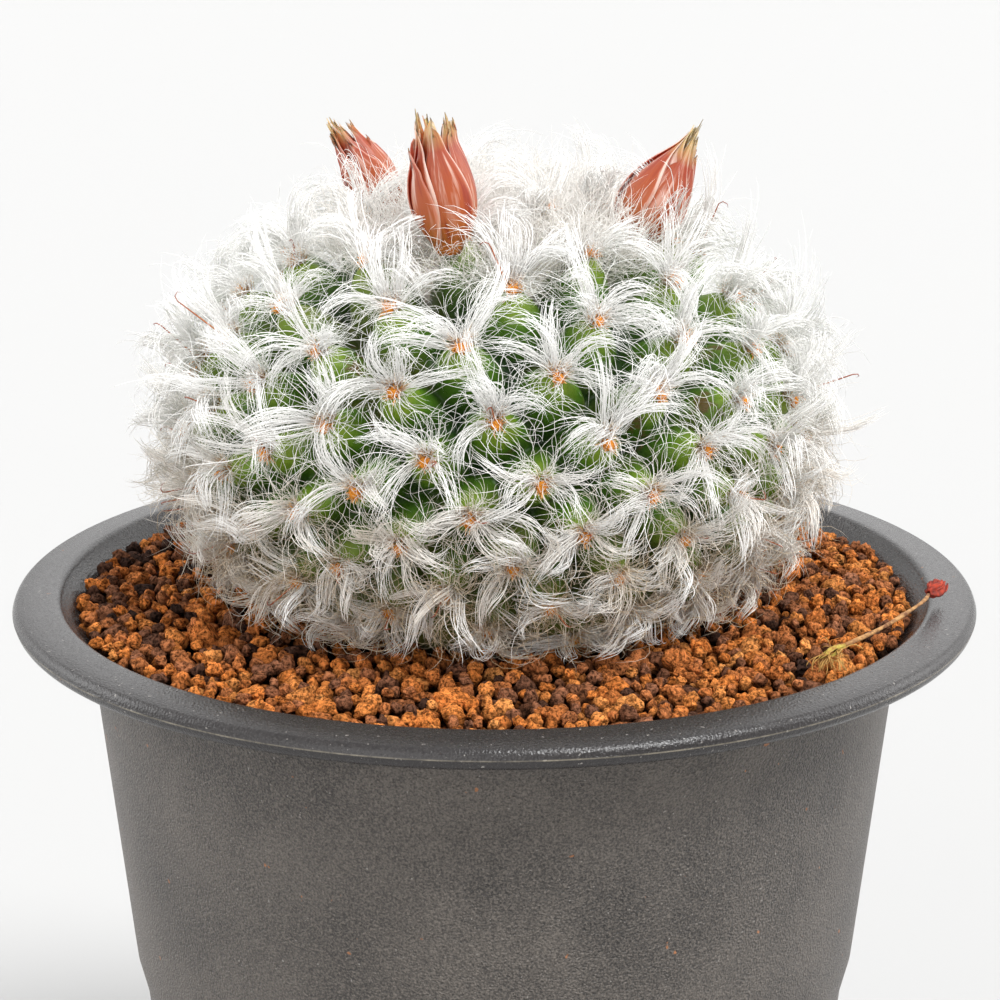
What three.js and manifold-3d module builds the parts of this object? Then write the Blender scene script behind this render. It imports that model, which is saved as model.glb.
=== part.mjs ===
// Potted round cactus: a tubercled green stem with silky hair, hooked spines and three closed buds,
// in a bed of clay granules in a tapered plastic pot. Millimetres, +Z up. The origin is the centre
// of the pot's underside, and -Y is the front.
import * as THREE from 'three';
import { mergeVertices } from 'three/addons/utils/BufferGeometryUtils.js';
import { ConvexHull } from 'three/addons/math/ConvexHull.js';
import Module from 'manifold-3d';

const wasm = await Module();
wasm.setup();

// Pot
const rimDiameter = 90; // widest circle of the lip
const rimHeight = 76; // height of that circle above the underside
const lipRise = 1.4; // the lip's ridge above the widest circle
const lipBand = 3.8; // from the widest circle in to the ridge
const lipEdgeRadius = 1.1; // round of the lip's outer edge
const lipRidgeRadius = 0.8;
const throatBand = 1.8; // from the ridge in to where the lip turns down
const throatDrop = 1.6; // from the ridge down to the throat's top
const throatDepth = 3.5; // from the ridge down to where the straight wall begins
const wallTopDiameter = 76.4; // outside, just under the lip
const baseDiameter = 58.4;
const wallThickness = 1.2;
const floorThickness = 2.2;
const footRadius = 1; // round where the wall meets the underside
const shoulderHeight = 38; // where the wall steps in
const shoulderDepth = 4; // height of the step
const shoulderInset = 0.5;
const drainHoleCount = 6;
const drainHoleDiameter = 3.6;
const drainCircleDiameter = 36;
const potSegments = 48;

// Soil
const soilEdgeDrop = 0.9; // below the lip's ridge, at the pot
const soilRise = 1; // from the pot to the stem
const soilLump = 0.5; // tallest lump on the surface
const soilSegments = 40;
const soilRings = 4;

// Stem, an ellipsoid through its tubercles' tips
const stemDiameter = 57;
const stemHeight = 42;
const stemSunk = 6; // how much of the height is under the soil
const tubercleCount = 180; // on the whole ellipsoid, the ones under the soil included
const tubercleDepth = 5.5; // tip to valley
const tipRadius = 1.5; // the flat of a tubercle's tip
const tipDrop = 0.4; // from the tip's centre to its edge
const tipSides = 5;
const spiralAngle = 137.508; // degrees from one tubercle to the next
const spiralStart = -20; // degrees
const spiralCrowding = 0.8; // under 1 spreads the tubercles at the crown

// Hair
const hairRowCount = 13;
const firstHairTubercle = 5; // the ones before it are under the crown wool
const tuftHalfWidth = 2.6;
const tuftHeight = 3;
const wispHalfWidth = 0.9; // the hair that joins two tufts
const wispHeight = 1;
const stepsPerTuft = 4;
const crownWoolRadius = 10.6;
const crownWoolHeight = 3;
const crownWoolEdge = 0.8;
const crownWoolSegments = 20;

// Hooked spines
const hookCount = 14;
const hookLength = 6; // straight part
const hookBendRadius = 0.9;
const hookDiameter = 0.5;
const hookSides = 5;

// Flower buds: where each leaves the stem, how it leans, and its size
const budPetalCount = 5;
const budPetalThickness = 0.5;
const budPetalGap = 16; // degrees between two petals
const budSegments = 12;
const buds = [
  { name: 'front_bud', azimuth: -115, fromAxis: 11, lean: 9, leanTo: 190, length: 12.6, diameter: 6.2 },
  { name: 'right_bud', azimuth: 2, fromAxis: 14.2, lean: 27, leanTo: 0, length: 11, diameter: 6 },
  { name: 'left_bud', azimuth: 148, fromAxis: 11.4, lean: 31, leanTo: 175, length: 10.4, diameter: 4.4 },
];

// Dried flower, fallen on the soil and the lip
const dryStalkDiameter = 0.8;
const dryAzimuth = -35; // where the stalk starts
const drySweep = 28; // degrees round the pot from its start to its head
const dryHeadLength = 4;
const dryHeadDiameter = 2;
const dryBractLength = 3.6;
const dryBractDiameter = 1.6;

// Fits
const clearance = 0.35; // between pieces that touch
const freeGap = 0.6; // between soft pieces that lie side by side

const rimRadius = rimDiameter / 2;
const ridgeRadius = rimRadius - lipBand;
const ridgeHeight = rimHeight + lipRise;
const throatRadius = ridgeRadius - throatBand;
const wallTopRadius = wallTopDiameter / 2;
const baseRadius = baseDiameter / 2;
const soilEdgeHeight = ridgeHeight - soilEdgeDrop;
const soilHeight = soilEdgeHeight + soilRise;
const stemRadius = stemDiameter / 2;
const stemHalfHeight = stemHeight / 2;
const stemCentre = soilHeight - stemSunk + stemHalfHeight;

const group = new THREE.Group();

function paint(color, roughness) {
  return new THREE.MeshStandardMaterial({ color, roughness, metalness: 0 });
}

const finish = {
  pot: paint(0x3b3c3f, 0.55),
  soil: paint(0x8f5130, 0.95),
  stem: paint(0x4d8433, 0.5),
  hair: paint(0xf1efe9, 0.85),
  spine: paint(0x8a4a2e, 0.5),
  petal: paint(0xb85647, 0.6),
  heart: paint(0xd98f79, 0.6),
  dryStalk: paint(0xa98252, 0.85),
  dryHead: paint(0x7d2c20, 0.85),
  dryBract: paint(0x9a9a3a, 0.8),
};

function addPiece(name, geometry, material) {
  const mesh = new THREE.Mesh(geometry, material);
  mesh.name = name;
  group.add(mesh);
}

// Shared vertices are merged, collapsed triangles dropped and the faces turned outward.
function closedShell(geometry) {
  geometry.deleteAttribute('normal');
  geometry.deleteAttribute('uv');
  const merged = mergeVertices(geometry, 1e-4);
  const corners = merged.index.array;
  const places = merged.attributes.position;
  const kept = [];
  const [a, b, c] = [new THREE.Vector3(), new THREE.Vector3(), new THREE.Vector3()];
  let volume = 0;
  for (let i = 0; i < corners.length; i += 3) {
    const [p, q, r] = [corners[i], corners[i + 1], corners[i + 2]];
    if (p === q || q === r || r === p) continue;
    kept.push(p, q, r);
    a.fromBufferAttribute(places, p);
    b.fromBufferAttribute(places, q);
    c.fromBufferAttribute(places, r);
    volume += a.dot(b.cross(c));
  }
  if (volume < 0) kept.reverse();
  merged.setIndex(kept);
  return merged;
}

function toManifold(geometry) {
  return new wasm.Manifold(new wasm.Mesh({
    numProp: 3,
    vertProperties: geometry.attributes.position.array,
    triVerts: new Uint32Array(geometry.index.array),
  }));
}

function fromManifold(solid) {
  const mesh = solid.getMesh();
  const geometry = new THREE.BufferGeometry();
  geometry.setAttribute('position', new THREE.BufferAttribute(mesh.vertProperties, 3));
  geometry.setIndex(new THREE.BufferAttribute(mesh.triVerts, 1));
  return geometry;
}

function subtractAll(geometry, cutters) {
  let solid = toManifold(geometry);
  for (const cutter of cutters) solid = solid.subtract(toManifold(cutter));
  return fromManifold(solid);
}

// A [radius, height] profile turned round the Z axis.
function turned(profile, segments) {
  const points = profile.map(([radius, height]) => new THREE.Vector2(radius, height));
  return new THREE.LatheGeometry(points, segments).rotateX(Math.PI / 2);
}

function arc(radius, height, size, fromDegrees, toDegrees, steps) {
  const points = [];
  for (let i = 0; i <= steps; i++) {
    const angle = THREE.MathUtils.degToRad(fromDegrees + (toDegrees - fromDegrees) * i / steps);
    points.push([radius + size * Math.cos(angle), height + size * Math.sin(angle)]);
  }
  return points;
}

// A closed tube of given sides whose radius follows radiusAt(0..1).
function taperedTube(curve, steps, sides, radiusAt) {
  const frames = curve.computeFrenetFrames(steps, false);
  const places = [];
  const corners = [];
  for (let i = 0; i <= steps; i++) {
    const centre = curve.getPointAt(i / steps);
    for (let j = 0; j < sides; j++) {
      const angle = 2 * Math.PI * j / sides;
      const out = frames.normals[i].clone().multiplyScalar(Math.cos(angle));
      out.addScaledVector(frames.binormals[i], Math.sin(angle));
      places.push(...centre.clone().addScaledVector(out, radiusAt(i / steps)).toArray());
    }
  }
  for (let i = 0; i < steps; i++) {
    for (let j = 0; j < sides; j++) {
      const [here, next] = [i * sides + j, i * sides + (j + 1) % sides];
      corners.push(here, next, here + sides, next, next + sides, here + sides);
    }
  }
  const last = steps * sides;
  for (let j = 1; j < sides - 1; j++) {
    corners.push(0, j + 1, j, last, last + j, last + j + 1);
  }
  return closedShell(indexed(places, corners));
}

function indexed(places, corners) {
  const geometry = new THREE.BufferGeometry();
  geometry.setAttribute('position', new THREE.Float32BufferAttribute(places, 3));
  geometry.setIndex(corners);
  return geometry;
}

function smoothStep(from, to, value) {
  return THREE.MathUtils.smoothstep(value, from, to);
}

// A repeatable number from 0 to 1 for two whole numbers.
function scatter(i, j) {
  const value = Math.sin(i * 127.1 + j * 311.7) * 43758.5453;
  return value - Math.floor(value);
}

// ---- Pot ----

function wallRadiusAt(height) {
  const share = height / (rimHeight - lipEdgeRadius);
  const stepIn = shoulderInset * (1 - smoothStep(shoulderHeight, shoulderHeight + shoulderDepth, height));
  const straightBase = baseRadius + shoulderInset;
  return straightBase + (wallTopRadius - straightBase) * share - stepIn;
}

function makePot() {
  const underLip = rimHeight - lipEdgeRadius;
  const shoulderTop = shoulderHeight + shoulderDepth;
  const throatBottom = ridgeHeight - throatDepth;
  const innerAt = (height) => wallRadiusAt(height) - wallThickness;
  const profile = [
    [0, 0],
    ...arc(wallRadiusAt(0) - footRadius, footRadius, footRadius, -90, 0, 2),
    [wallRadiusAt(shoulderHeight), shoulderHeight],
    [wallRadiusAt(shoulderTop), shoulderTop],
    [wallTopRadius, underLip],
    ...arc(rimRadius - lipEdgeRadius, rimHeight, lipEdgeRadius, -90, 60, 4),
    ...arc(ridgeRadius, ridgeHeight - lipRidgeRadius, lipRidgeRadius, 75, 150, 3),
    [throatRadius, ridgeHeight - throatDrop],
    [innerAt(throatBottom), throatBottom],
    [innerAt(shoulderTop), shoulderTop],
    [innerAt(shoulderHeight), shoulderHeight],
    [innerAt(floorThickness), floorThickness],
    [0, floorThickness],
  ];
  const body = closedShell(turned(profile, potSegments));
  return subtractAll(body, drainHoles());
}

function drainHoles() {
  const holes = [];
  for (let i = 0; i < drainHoleCount; i++) {
    const angle = 2 * Math.PI * (i + 0.5) / drainHoleCount;
    const hole = new THREE.CylinderGeometry(drainHoleDiameter / 2, drainHoleDiameter / 2, 3 * floorThickness, 12);
    hole.rotateX(Math.PI / 2);
    hole.translate(drainCircleDiameter / 2 * Math.cos(angle), drainCircleDiameter / 2 * Math.sin(angle), 0);
    holes.push(closedShell(hole));
  }
  return holes;
}

// ---- Soil ----

function stemRadiusAt(height) {
  const share = (height - stemCentre) / stemHalfHeight;
  return stemRadius * Math.sqrt(Math.max(0, 1 - share * share));
}

function makeSoil() {
  const inner = (height) => wallRadiusAt(height) - wallThickness - clearance;
  const throatBottom = ridgeHeight - throatDepth;
  const shoulderTop = shoulderHeight + shoulderDepth;
  const edgeRadius = throatRadius - clearance;
  const mouth = stemRadiusAt(soilHeight + soilLump) + clearance;
  const bottom = floorThickness + clearance;
  const profile = [
    [0, bottom],
    [inner(bottom), bottom],
    [inner(shoulderHeight), shoulderHeight],
    [inner(shoulderTop), shoulderTop],
    [inner(throatBottom), throatBottom + clearance],
    [edgeRadius, ridgeHeight - throatDrop + clearance],
    [edgeRadius, soilEdgeHeight],
  ];
  for (let i = 1; i < soilRings; i++) {
    const share = i / soilRings;
    profile.push([edgeRadius + (mouth - edgeRadius) * share, soilEdgeHeight + soilRise * share]);
  }
  profile.push([mouth, soilHeight - soilLump / 2]);
  const socketSteps = 5;
  const sunkAngle = Math.acos((stemCentre - soilHeight) / stemHalfHeight);
  for (let i = 1; i <= socketSteps; i++) {
    const angle = sunkAngle * (1 - i / socketSteps);
    const radius = (stemRadius + clearance) * Math.sin(angle);
    profile.push([radius, stemCentre - (stemHalfHeight + clearance) * Math.cos(angle)]);
  }
  const bed = closedShell(turned(profile, soilSegments));
  const places = bed.attributes.position;
  for (let i = 0; i < places.count; i++) {
    const radius = Math.hypot(places.getX(i), places.getY(i));
    const onTop = places.getZ(i) > soilEdgeHeight && radius > mouth + clearance;
    if (onTop) places.setZ(i, places.getZ(i) + soilLump * (scatter(i, 1) - 0.5));
  }
  return bed;
}

// ---- Stem ----

// A place on the tips' ellipsoid for a point of the unit sphere, raised along the surface's normal.
function onStem(unit, raise) {
  const place = new THREE.Vector3(unit.x * stemRadius, unit.y * stemRadius, unit.z * stemHalfHeight);
  place.addScaledVector(stemNormal(unit), raise);
  place.z += stemCentre;
  return place;
}

function stemNormal(unit) {
  return new THREE.Vector3(unit.x / stemRadius, unit.y / stemRadius, unit.z / stemHalfHeight).normalize();
}

// The tubercles follow one spiral from the crown down, as points of the unit sphere.
function tubercleSpiral() {
  const spiral = [];
  for (let i = 0; i < tubercleCount; i++) {
    const z = 1 - 2 * Math.pow((i + 0.5) / tubercleCount, spiralCrowding);
    const across = Math.sqrt(1 - z * z);
    const angle = THREE.MathUtils.degToRad(spiralStart + spiralAngle * i);
    spiral.push(new THREE.Vector3(across * Math.cos(angle), across * Math.sin(angle), z));
  }
  return spiral;
}

const tubercles = tubercleSpiral();

// 0 where the stem is in the soil and 1 where its tubercles are full grown.
function growthAt(unit) {
  const height = stemCentre + stemHalfHeight * unit.z;
  return smoothStep(soilHeight + soilLump, soilHeight + soilLump + tubercleDepth, height);
}

function makeStem() {
  const raises = new Map();
  const points = [];
  const addPoint = (unit, raise) => {
    points.push(unit);
    raises.set(unit, raise);
  };
  for (const unit of tubercles) {
    addPoint(unit, 0);
    if (growthAt(unit) === 0) continue;
    const side = new THREE.Vector3(-unit.y, unit.x, 0).normalize();
    const down = new THREE.Vector3().crossVectors(unit, side);
    for (let j = 0; j < tipSides; j++) {
      const angle = 2 * Math.PI * j / tipSides;
      const ring = unit.clone().addScaledVector(side, tipRadius / stemRadius * Math.cos(angle));
      ring.addScaledVector(down, tipRadius / stemRadius * Math.sin(angle));
      addPoint(ring.normalize(), -tipDrop * growthAt(unit));
    }
  }
  for (const face of new ConvexHull().setFromPoints(tubercles).faces) {
    const valley = face.normal.clone();
    addPoint(valley, -tubercleDepth * growthAt(valley));
  }
  const places = [];
  for (const face of new ConvexHull().setFromPoints(points).faces) {
    let edge = face.edge;
    do {
      const unit = edge.head().point;
      places.push(...onStem(unit, raises.get(unit)).toArray());
      edge = edge.next;
    } while (edge !== face.edge);
  }
  const geometry = new THREE.BufferGeometry();
  geometry.setAttribute('position', new THREE.Float32BufferAttribute(places, 3));
  return closedShell(geometry);
}

// ---- Buds ----

// The bud's own frame: its foot on the stem and its axis along +Z.
function budPlacement(bud) {
  const azimuth = THREE.MathUtils.degToRad(bud.azimuth);
  const across = bud.fromAxis / stemRadius;
  const unit = new THREE.Vector3(
    across * Math.cos(azimuth),
    across * Math.sin(azimuth),
    Math.sqrt(1 - across * across),
  );
  const leanTo = THREE.MathUtils.degToRad(bud.leanTo);
  const lean = THREE.MathUtils.degToRad(bud.lean);
  const axis = new THREE.Vector3(
    Math.sin(lean) * Math.cos(leanTo),
    Math.sin(lean) * Math.sin(leanTo),
    Math.cos(lean),
  );
  const turn = new THREE.Quaternion().setFromUnitVectors(new THREE.Vector3(0, 0, 1), axis);
  const foot = onStem(unit, clearance + bud.diameter / 4);
  return new THREE.Matrix4().compose(foot, turn, new THREE.Vector3(1, 1, 1));
}

// A closed bud's outline, share 0 at the foot and 1 at the tip.
function budOutline(bud, share) {
  const belly = Math.pow(Math.sin(Math.PI * Math.pow(share, 0.8)), 0.75);
  return bud.diameter / 2 * Math.max(belly, 0.5 * (1 - share) + 0.06 * share);
}

function makeBudHeart(bud) {
  const steps = 8;
  const skin = budPetalThickness + clearance;
  const profile = [[0, 0]];
  for (let i = 0; i <= steps; i++) {
    const share = i / steps;
    profile.push([Math.max(budOutline(bud, share) - skin, bud.diameter / 20), share * bud.length]);
  }
  profile.push([0, bud.length]);
  return closedShell(turned(profile, budSegments)).applyMatrix4(budPlacement(bud));
}

function makeBudPetal(bud, turn) {
  const across = 3;
  const along = 6;
  const halfAngle = THREE.MathUtils.degToRad(360 / budPetalCount - budPetalGap) / 2;
  const places = [];
  const corners = [];
  for (const inset of [0, budPetalThickness]) {
    for (let i = 0; i <= along; i++) {
      const share = 0.06 + 0.9 * i / along;
      const width = Math.sqrt(Math.max(0.04, 1 - Math.pow(i / along, 3)));
      for (let j = 0; j <= across; j++) {
        const angle = turn + halfAngle * width * (2 * j / across - 1);
        const radius = Math.max(budOutline(bud, share), bud.diameter / 20 + budPetalThickness + clearance) - inset;
        places.push(radius * Math.cos(angle), radius * Math.sin(angle), share * bud.length);
      }
    }
  }
  const sheet = (along + 1) * (across + 1);
  const at = (i, j) => i * (across + 1) + j;
  for (let i = 0; i < along; i++) {
    for (let j = 0; j < across; j++) {
      const [p, q, r, s] = [at(i, j), at(i, j + 1), at(i + 1, j + 1), at(i + 1, j)];
      corners.push(p, q, r, p, r, s);
      corners.push(sheet + p, sheet + r, sheet + q, sheet + p, sheet + s, sheet + r);
    }
  }
  const edge = [];
  for (let j = 0; j < across; j++) edge.push(at(0, j));
  for (let i = 0; i < along; i++) edge.push(at(i, across));
  for (let j = across; j > 0; j--) edge.push(at(along, j));
  for (let i = along; i > 0; i--) edge.push(at(i, 0));
  edge.forEach((p, i) => {
    const q = edge[(i + 1) % edge.length];
    corners.push(p, sheet + q, q, p, sheet + p, sheet + q);
  });
  return closedShell(indexed(places, corners)).applyMatrix4(budPlacement(bud));
}

function makeBudClearance(bud) {
  const wide = bud.diameter / 2 + clearance;
  const shaft = new THREE.CylinderGeometry(wide, wide, 2 * bud.length, budSegments);
  return closedShell(shaft.rotateX(Math.PI / 2)).applyMatrix4(budPlacement(bud));
}

// ---- Hair ----

function nearBud(place) {
  return buds.some((bud) => {
    const placement = budPlacement(bud);
    const foot = new THREE.Vector3().setFromMatrixPosition(placement);
    const tip = new THREE.Vector3(0, 0, bud.length).applyMatrix4(placement);
    const nearest = new THREE.Line3(foot, tip).closestPointToPoint(place, true, new THREE.Vector3());
    return nearest.distanceTo(place) < bud.diameter / 2 + tuftHalfWidth + freeGap;
  });
}

// The tubercles that a row's hair grows from, from the crown down to the soil.
function tuftsOfRow(row) {
  const lowest = soilHeight + soilLump + tuftHalfWidth;
  let tufts = [];
  for (let i = firstHairTubercle + row; i < tubercleCount; i += hairRowCount) {
    const place = onStem(tubercles[i], 0);
    if (place.z < lowest) break;
    tufts = nearBud(place) ? [] : [...tufts, tubercles[i]];
  }
  return tufts;
}

function makeHairRow(row) {
  const tufts = tuftsOfRow(row);
  const path = new THREE.CatmullRomCurve3(tufts, false, 'catmullrom', 0.5);
  const steps = (tufts.length - 1) * stepsPerTuft;
  const places = [];
  const corners = [];
  const sides = 4;
  for (let i = 0; i <= steps; i++) {
    const unit = path.getPoint(i / steps).normalize();
    const along = path.getTangent(i / steps);
    const normal = stemNormal(unit);
    const side = new THREE.Vector3().crossVectors(normal, along).normalize();
    const fullness = Math.pow(Math.cos(Math.PI * i / stepsPerTuft), 2);
    const halfWidth = wispHalfWidth + (tuftHalfWidth - wispHalfWidth) * fullness;
    const height = wispHeight + (tuftHeight - wispHeight) * fullness;
    const foot = onStem(unit, clearance);
    for (const [across, up] of [[-1, 0], [-0.4, 1], [0.4, 1], [1, 0]]) {
      const corner = foot.clone().addScaledVector(side, across * halfWidth);
      places.push(...corner.addScaledVector(normal, up * height).toArray());
    }
  }
  for (let i = 0; i < steps; i++) {
    for (let j = 0; j < sides; j++) {
      const [here, next] = [i * sides + j, i * sides + (j + 1) % sides];
      corners.push(here, next, here + sides, next, next + sides, here + sides);
    }
  }
  const last = steps * sides;
  corners.push(0, 2, 1, 0, 3, 2, last, last + 1, last + 2, last, last + 2, last + 3);
  return closedShell(indexed(places, corners));
}

function makeCrownWool() {
  const steps = 5;
  const widest = Math.asin(crownWoolRadius / stemRadius);
  const onDome = (angle, raise) => {
    const place = onStem(new THREE.Vector3(Math.sin(angle), 0, Math.cos(angle)), raise);
    return [Math.abs(place.x) < 1e-9 ? 0 : place.x, place.z];
  };
  const profile = [];
  for (let i = 0; i <= steps; i++) profile.push(onDome(widest * i / steps, clearance));
  for (let i = steps; i >= 0; i--) {
    const thickness = crownWoolEdge + (crownWoolHeight - crownWoolEdge) * Math.cos(Math.PI / 2 * i / steps);
    profile.push(onDome(widest * i / steps, clearance + thickness));
  }
  const dome = closedShell(turned(profile, crownWoolSegments));
  return subtractAll(dome, buds.map(makeBudClearance));
}

// ---- Hooked spines ----

// Scattered over the tubercles that stand clear of the soil and the buds.
function hookedTubercles() {
  const lowest = soilHeight + soilLump + hookLength;
  const free = tubercles.slice(firstHairTubercle).filter((unit) => {
    const place = onStem(unit, 0);
    return place.z > lowest && !nearBud(place);
  });
  const pick = (i) => Math.floor((i + scatter(i, 3)) * free.length / hookCount);
  return Array.from({ length: hookCount }, (_, i) => free[pick(i)]);
}

function makeHook(unit, lean) {
  const normal = stemNormal(unit);
  const side = new THREE.Vector3(-unit.y, unit.x, 0).normalize().applyAxisAngle(normal, lean);
  const foot = onStem(unit, 2 * clearance + tuftHeight);
  const bendCentre = foot.clone().addScaledVector(normal, hookLength).addScaledVector(side, hookBendRadius);
  const points = [foot, foot.clone().addScaledVector(normal, hookLength / 2)];
  const bendSteps = 4;
  for (let i = 0; i <= bendSteps; i++) {
    const angle = Math.PI * i / bendSteps;
    const point = bendCentre.clone().addScaledVector(side, -hookBendRadius * Math.cos(angle));
    points.push(point.addScaledVector(normal, hookBendRadius * Math.sin(angle)));
  }
  const curve = new THREE.CatmullRomCurve3(points);
  return taperedTube(curve, 8, hookSides, (share) => hookDiameter / 2 * (1 - 0.6 * share));
}

// ---- Dried flower ----

function dryPoint(share, raise) {
  const angle = THREE.MathUtils.degToRad(dryAzimuth + drySweep * share);
  const radius = throatRadius - 2 + (ridgeRadius - throatRadius + 2) * share;
  const rest = THREE.MathUtils.lerp(soilEdgeHeight + soilLump, ridgeHeight, smoothStep(0.4, 0.8, share));
  return new THREE.Vector3(radius * Math.cos(angle), radius * Math.sin(angle), rest + clearance + raise);
}

function makeDryStalk() {
  const points = [];
  for (let i = 0; i <= 5; i++) points.push(dryPoint(0.05 + 0.75 * i / 5, dryHeadDiameter / 2));
  return taperedTube(new THREE.CatmullRomCurve3(points), 12, 6, () => dryStalkDiameter / 2);
}

// A shrivelled spindle that carries on from the stalk's end at fromShare, away from towardShare.
function makeDrySpindle(fromShare, towardShare, length, diameter) {
  const start = dryPoint(fromShare, dryHeadDiameter / 2);
  const along = start.clone().sub(dryPoint(towardShare, dryHeadDiameter / 2)).setZ(0).normalize();
  start.addScaledVector(along, clearance + diameter / 10);
  const curve = new THREE.LineCurve3(start, start.clone().addScaledVector(along, length));
  const belly = (share) => diameter / 2 * (0.25 + 0.75 * Math.sin(Math.PI * Math.min(0.9, 0.1 + share)));
  return taperedTube(curve, 5, 7, belly);
}

// ---- Assembly ----

addPiece('pot', makePot(), finish.pot);
addPiece('soil', makeSoil(), finish.soil);
addPiece('stem', makeStem(), finish.stem);
addPiece('crown_wool', makeCrownWool(), finish.hair);
for (let row = 0; row < hairRowCount; row++) {
  addPiece(`hair_row_${row + 1}`, makeHairRow(row), finish.hair);
}
hookedTubercles().forEach((unit, i) => {
  addPiece(`hooked_spine_${i + 1}`, makeHook(unit, 2 * Math.PI * scatter(i, 2)), finish.spine);
});
for (const bud of buds) {
  addPiece(`${bud.name}_heart`, makeBudHeart(bud), finish.heart);
  for (let i = 0; i < budPetalCount; i++) {
    const turn = 2 * Math.PI * i / budPetalCount;
    addPiece(`${bud.name}_petal_${i + 1}`, makeBudPetal(bud, turn), finish.petal);
  }
}
addPiece('dry_flower_stalk', makeDryStalk(), finish.dryStalk);
addPiece('dry_flower_head', makeDrySpindle(0.8, 0.7, dryHeadLength, dryHeadDiameter), finish.dryHead);
addPiece('dry_flower_bract', makeDrySpindle(0.05, 0.15, dryBractLength, dryBractDiameter), finish.dryBract);

export default group;
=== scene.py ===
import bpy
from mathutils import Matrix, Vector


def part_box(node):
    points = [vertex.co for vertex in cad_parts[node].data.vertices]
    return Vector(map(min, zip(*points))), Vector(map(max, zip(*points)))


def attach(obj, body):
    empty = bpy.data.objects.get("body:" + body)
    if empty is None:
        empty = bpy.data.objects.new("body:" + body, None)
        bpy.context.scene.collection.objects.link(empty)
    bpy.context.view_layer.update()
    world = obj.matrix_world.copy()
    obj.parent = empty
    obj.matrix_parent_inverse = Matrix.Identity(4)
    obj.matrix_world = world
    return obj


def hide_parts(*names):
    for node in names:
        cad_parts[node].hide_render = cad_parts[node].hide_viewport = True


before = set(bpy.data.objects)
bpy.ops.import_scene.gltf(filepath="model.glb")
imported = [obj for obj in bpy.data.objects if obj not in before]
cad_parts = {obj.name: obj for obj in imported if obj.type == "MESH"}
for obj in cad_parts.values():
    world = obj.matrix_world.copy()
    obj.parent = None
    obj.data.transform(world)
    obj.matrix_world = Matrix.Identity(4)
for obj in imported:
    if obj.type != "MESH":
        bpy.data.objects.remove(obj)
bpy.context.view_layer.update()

import math

import bmesh
import bpy
import numpy as np
from mathutils import Vector

mm = 0.001
anyPhase = (0, 6.28)  # about a full turn, for random starts of waves
print("frame loaded:", len(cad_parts), "nodes")


# camera, lights and floor

viewSet = {
    "distance": 0.35,
    "elevation": 17.73,
    "lens": 133.8,
    "shiftX": 0.0056,
    "shiftY": 0.0957,
    "nearest": 0.01,
    "lipRise": 1.4 * mm,  # from the lip's widest circle, which the camera looks at, to its ridge
}
lightSet = {
    "frontSky": (0.56, 0.553, 0.54),
    "backSky": (0.965, 0.965, 0.962),
    "skyBlend": (-0.7, 0.3),  # from where to where, front to back, the one turns into the other
    "skyStrength": 1.0,
    "lamps": {  # where each comes from, its power and its softness in degrees
        "keyLamp": ((0.42, -0.45, 0.80), 2.9, 20),
        "fillLamp": ((-0.50, -0.90, 0.22), 1.25, 60),
        "backLamp": ((0.10, 0.80, 0.65), 0.7, 60),
        "rightLamp": ((0.90, 0.30, 0.36), 1.0, 40),
        "leftLamp": ((-0.90, 0.30, 0.36), 1.0, 40),
    },
    "floorColour": (0.457, 0.457, 0.456),
    "floorRoughness": 0.9,
    "floorSize": 6.0,
}

potHigh = Vector(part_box("pot")[1])
rimHeight = potHigh.z - viewSet["lipRise"]


def aimAt(thing, target):
    thing.rotation_euler = (Vector(target) - thing.location).to_track_quat("-Z", "Y").to_euler()


def placeCamera():
    data = bpy.data.cameras.new("camera")
    camera = bpy.data.objects.new("camera", data)
    bpy.context.scene.collection.objects.link(camera)
    tilt = math.radians(viewSet["elevation"])
    reach = viewSet["distance"]
    camera.location = (0, -reach * math.cos(tilt), rimHeight + reach * math.sin(tilt))
    aimAt(camera, (0, 0, rimHeight))
    data.lens = viewSet["lens"]
    data.shift_x = viewSet["shiftX"]
    data.shift_y = viewSet["shiftY"]
    data.clip_start = viewSet["nearest"]
    bpy.context.scene.camera = camera
    print("camera placed")


def placeLamp(name, comesFrom, power, softness):
    data = bpy.data.lights.new(name, "SUN")
    data.angle = math.radians(softness)
    data.energy = power
    lamp = bpy.data.objects.new(name, data)
    bpy.context.scene.collection.objects.link(lamp)
    lamp.location = comesFrom
    aimAt(lamp, (0, 0, 0))


def placeStudio():
    world = bpy.data.worlds.new("softSky")
    world.use_nodes = True
    tree = world.node_tree
    sky = tree.nodes["Background"]
    sky.inputs["Strength"].default_value = lightSet["skyStrength"]
    way = addNode(tree, "ShaderNodeTexCoord").outputs["Generated"]
    depth = addNode(tree, "ShaderNodeSeparateXYZ", {"Vector": way}).outputs["Y"]
    share = rescale(tree, depth, *lightSet["skyBlend"], 0, 1)
    tree.links.new(mixColours(tree, share, lightSet["frontSky"], lightSet["backSky"]), sky.inputs["Color"])
    bpy.context.scene.world = world
    bpy.context.scene.view_settings.view_transform = "Standard"
    for name, lamp in lightSet["lamps"].items():
        placeLamp(name, *lamp)
    placeFloor()
    print("studio: sky, floor and", len(lightSet["lamps"]), "lamps")


def placeFloor():
    half = lightSet["floorSize"] / 2
    mesh = bpy.data.meshes.new("floor")
    corners = [(-half, -half, 0), (half, -half, 0), (half, half, 0), (-half, half, 0)]
    mesh.from_pydata(corners, [], [(0, 1, 2, 3)])
    floor = bpy.data.objects.new("floor", mesh)
    bpy.context.scene.collection.objects.link(floor)
    material, _, shader = startFinish("paleFloor", Roughness=lightSet["floorRoughness"])
    shader.inputs["Base Color"].default_value = (*lightSet["floorColour"], 1)
    mesh.materials.append(material)


# finishes are built from these few steps

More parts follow.
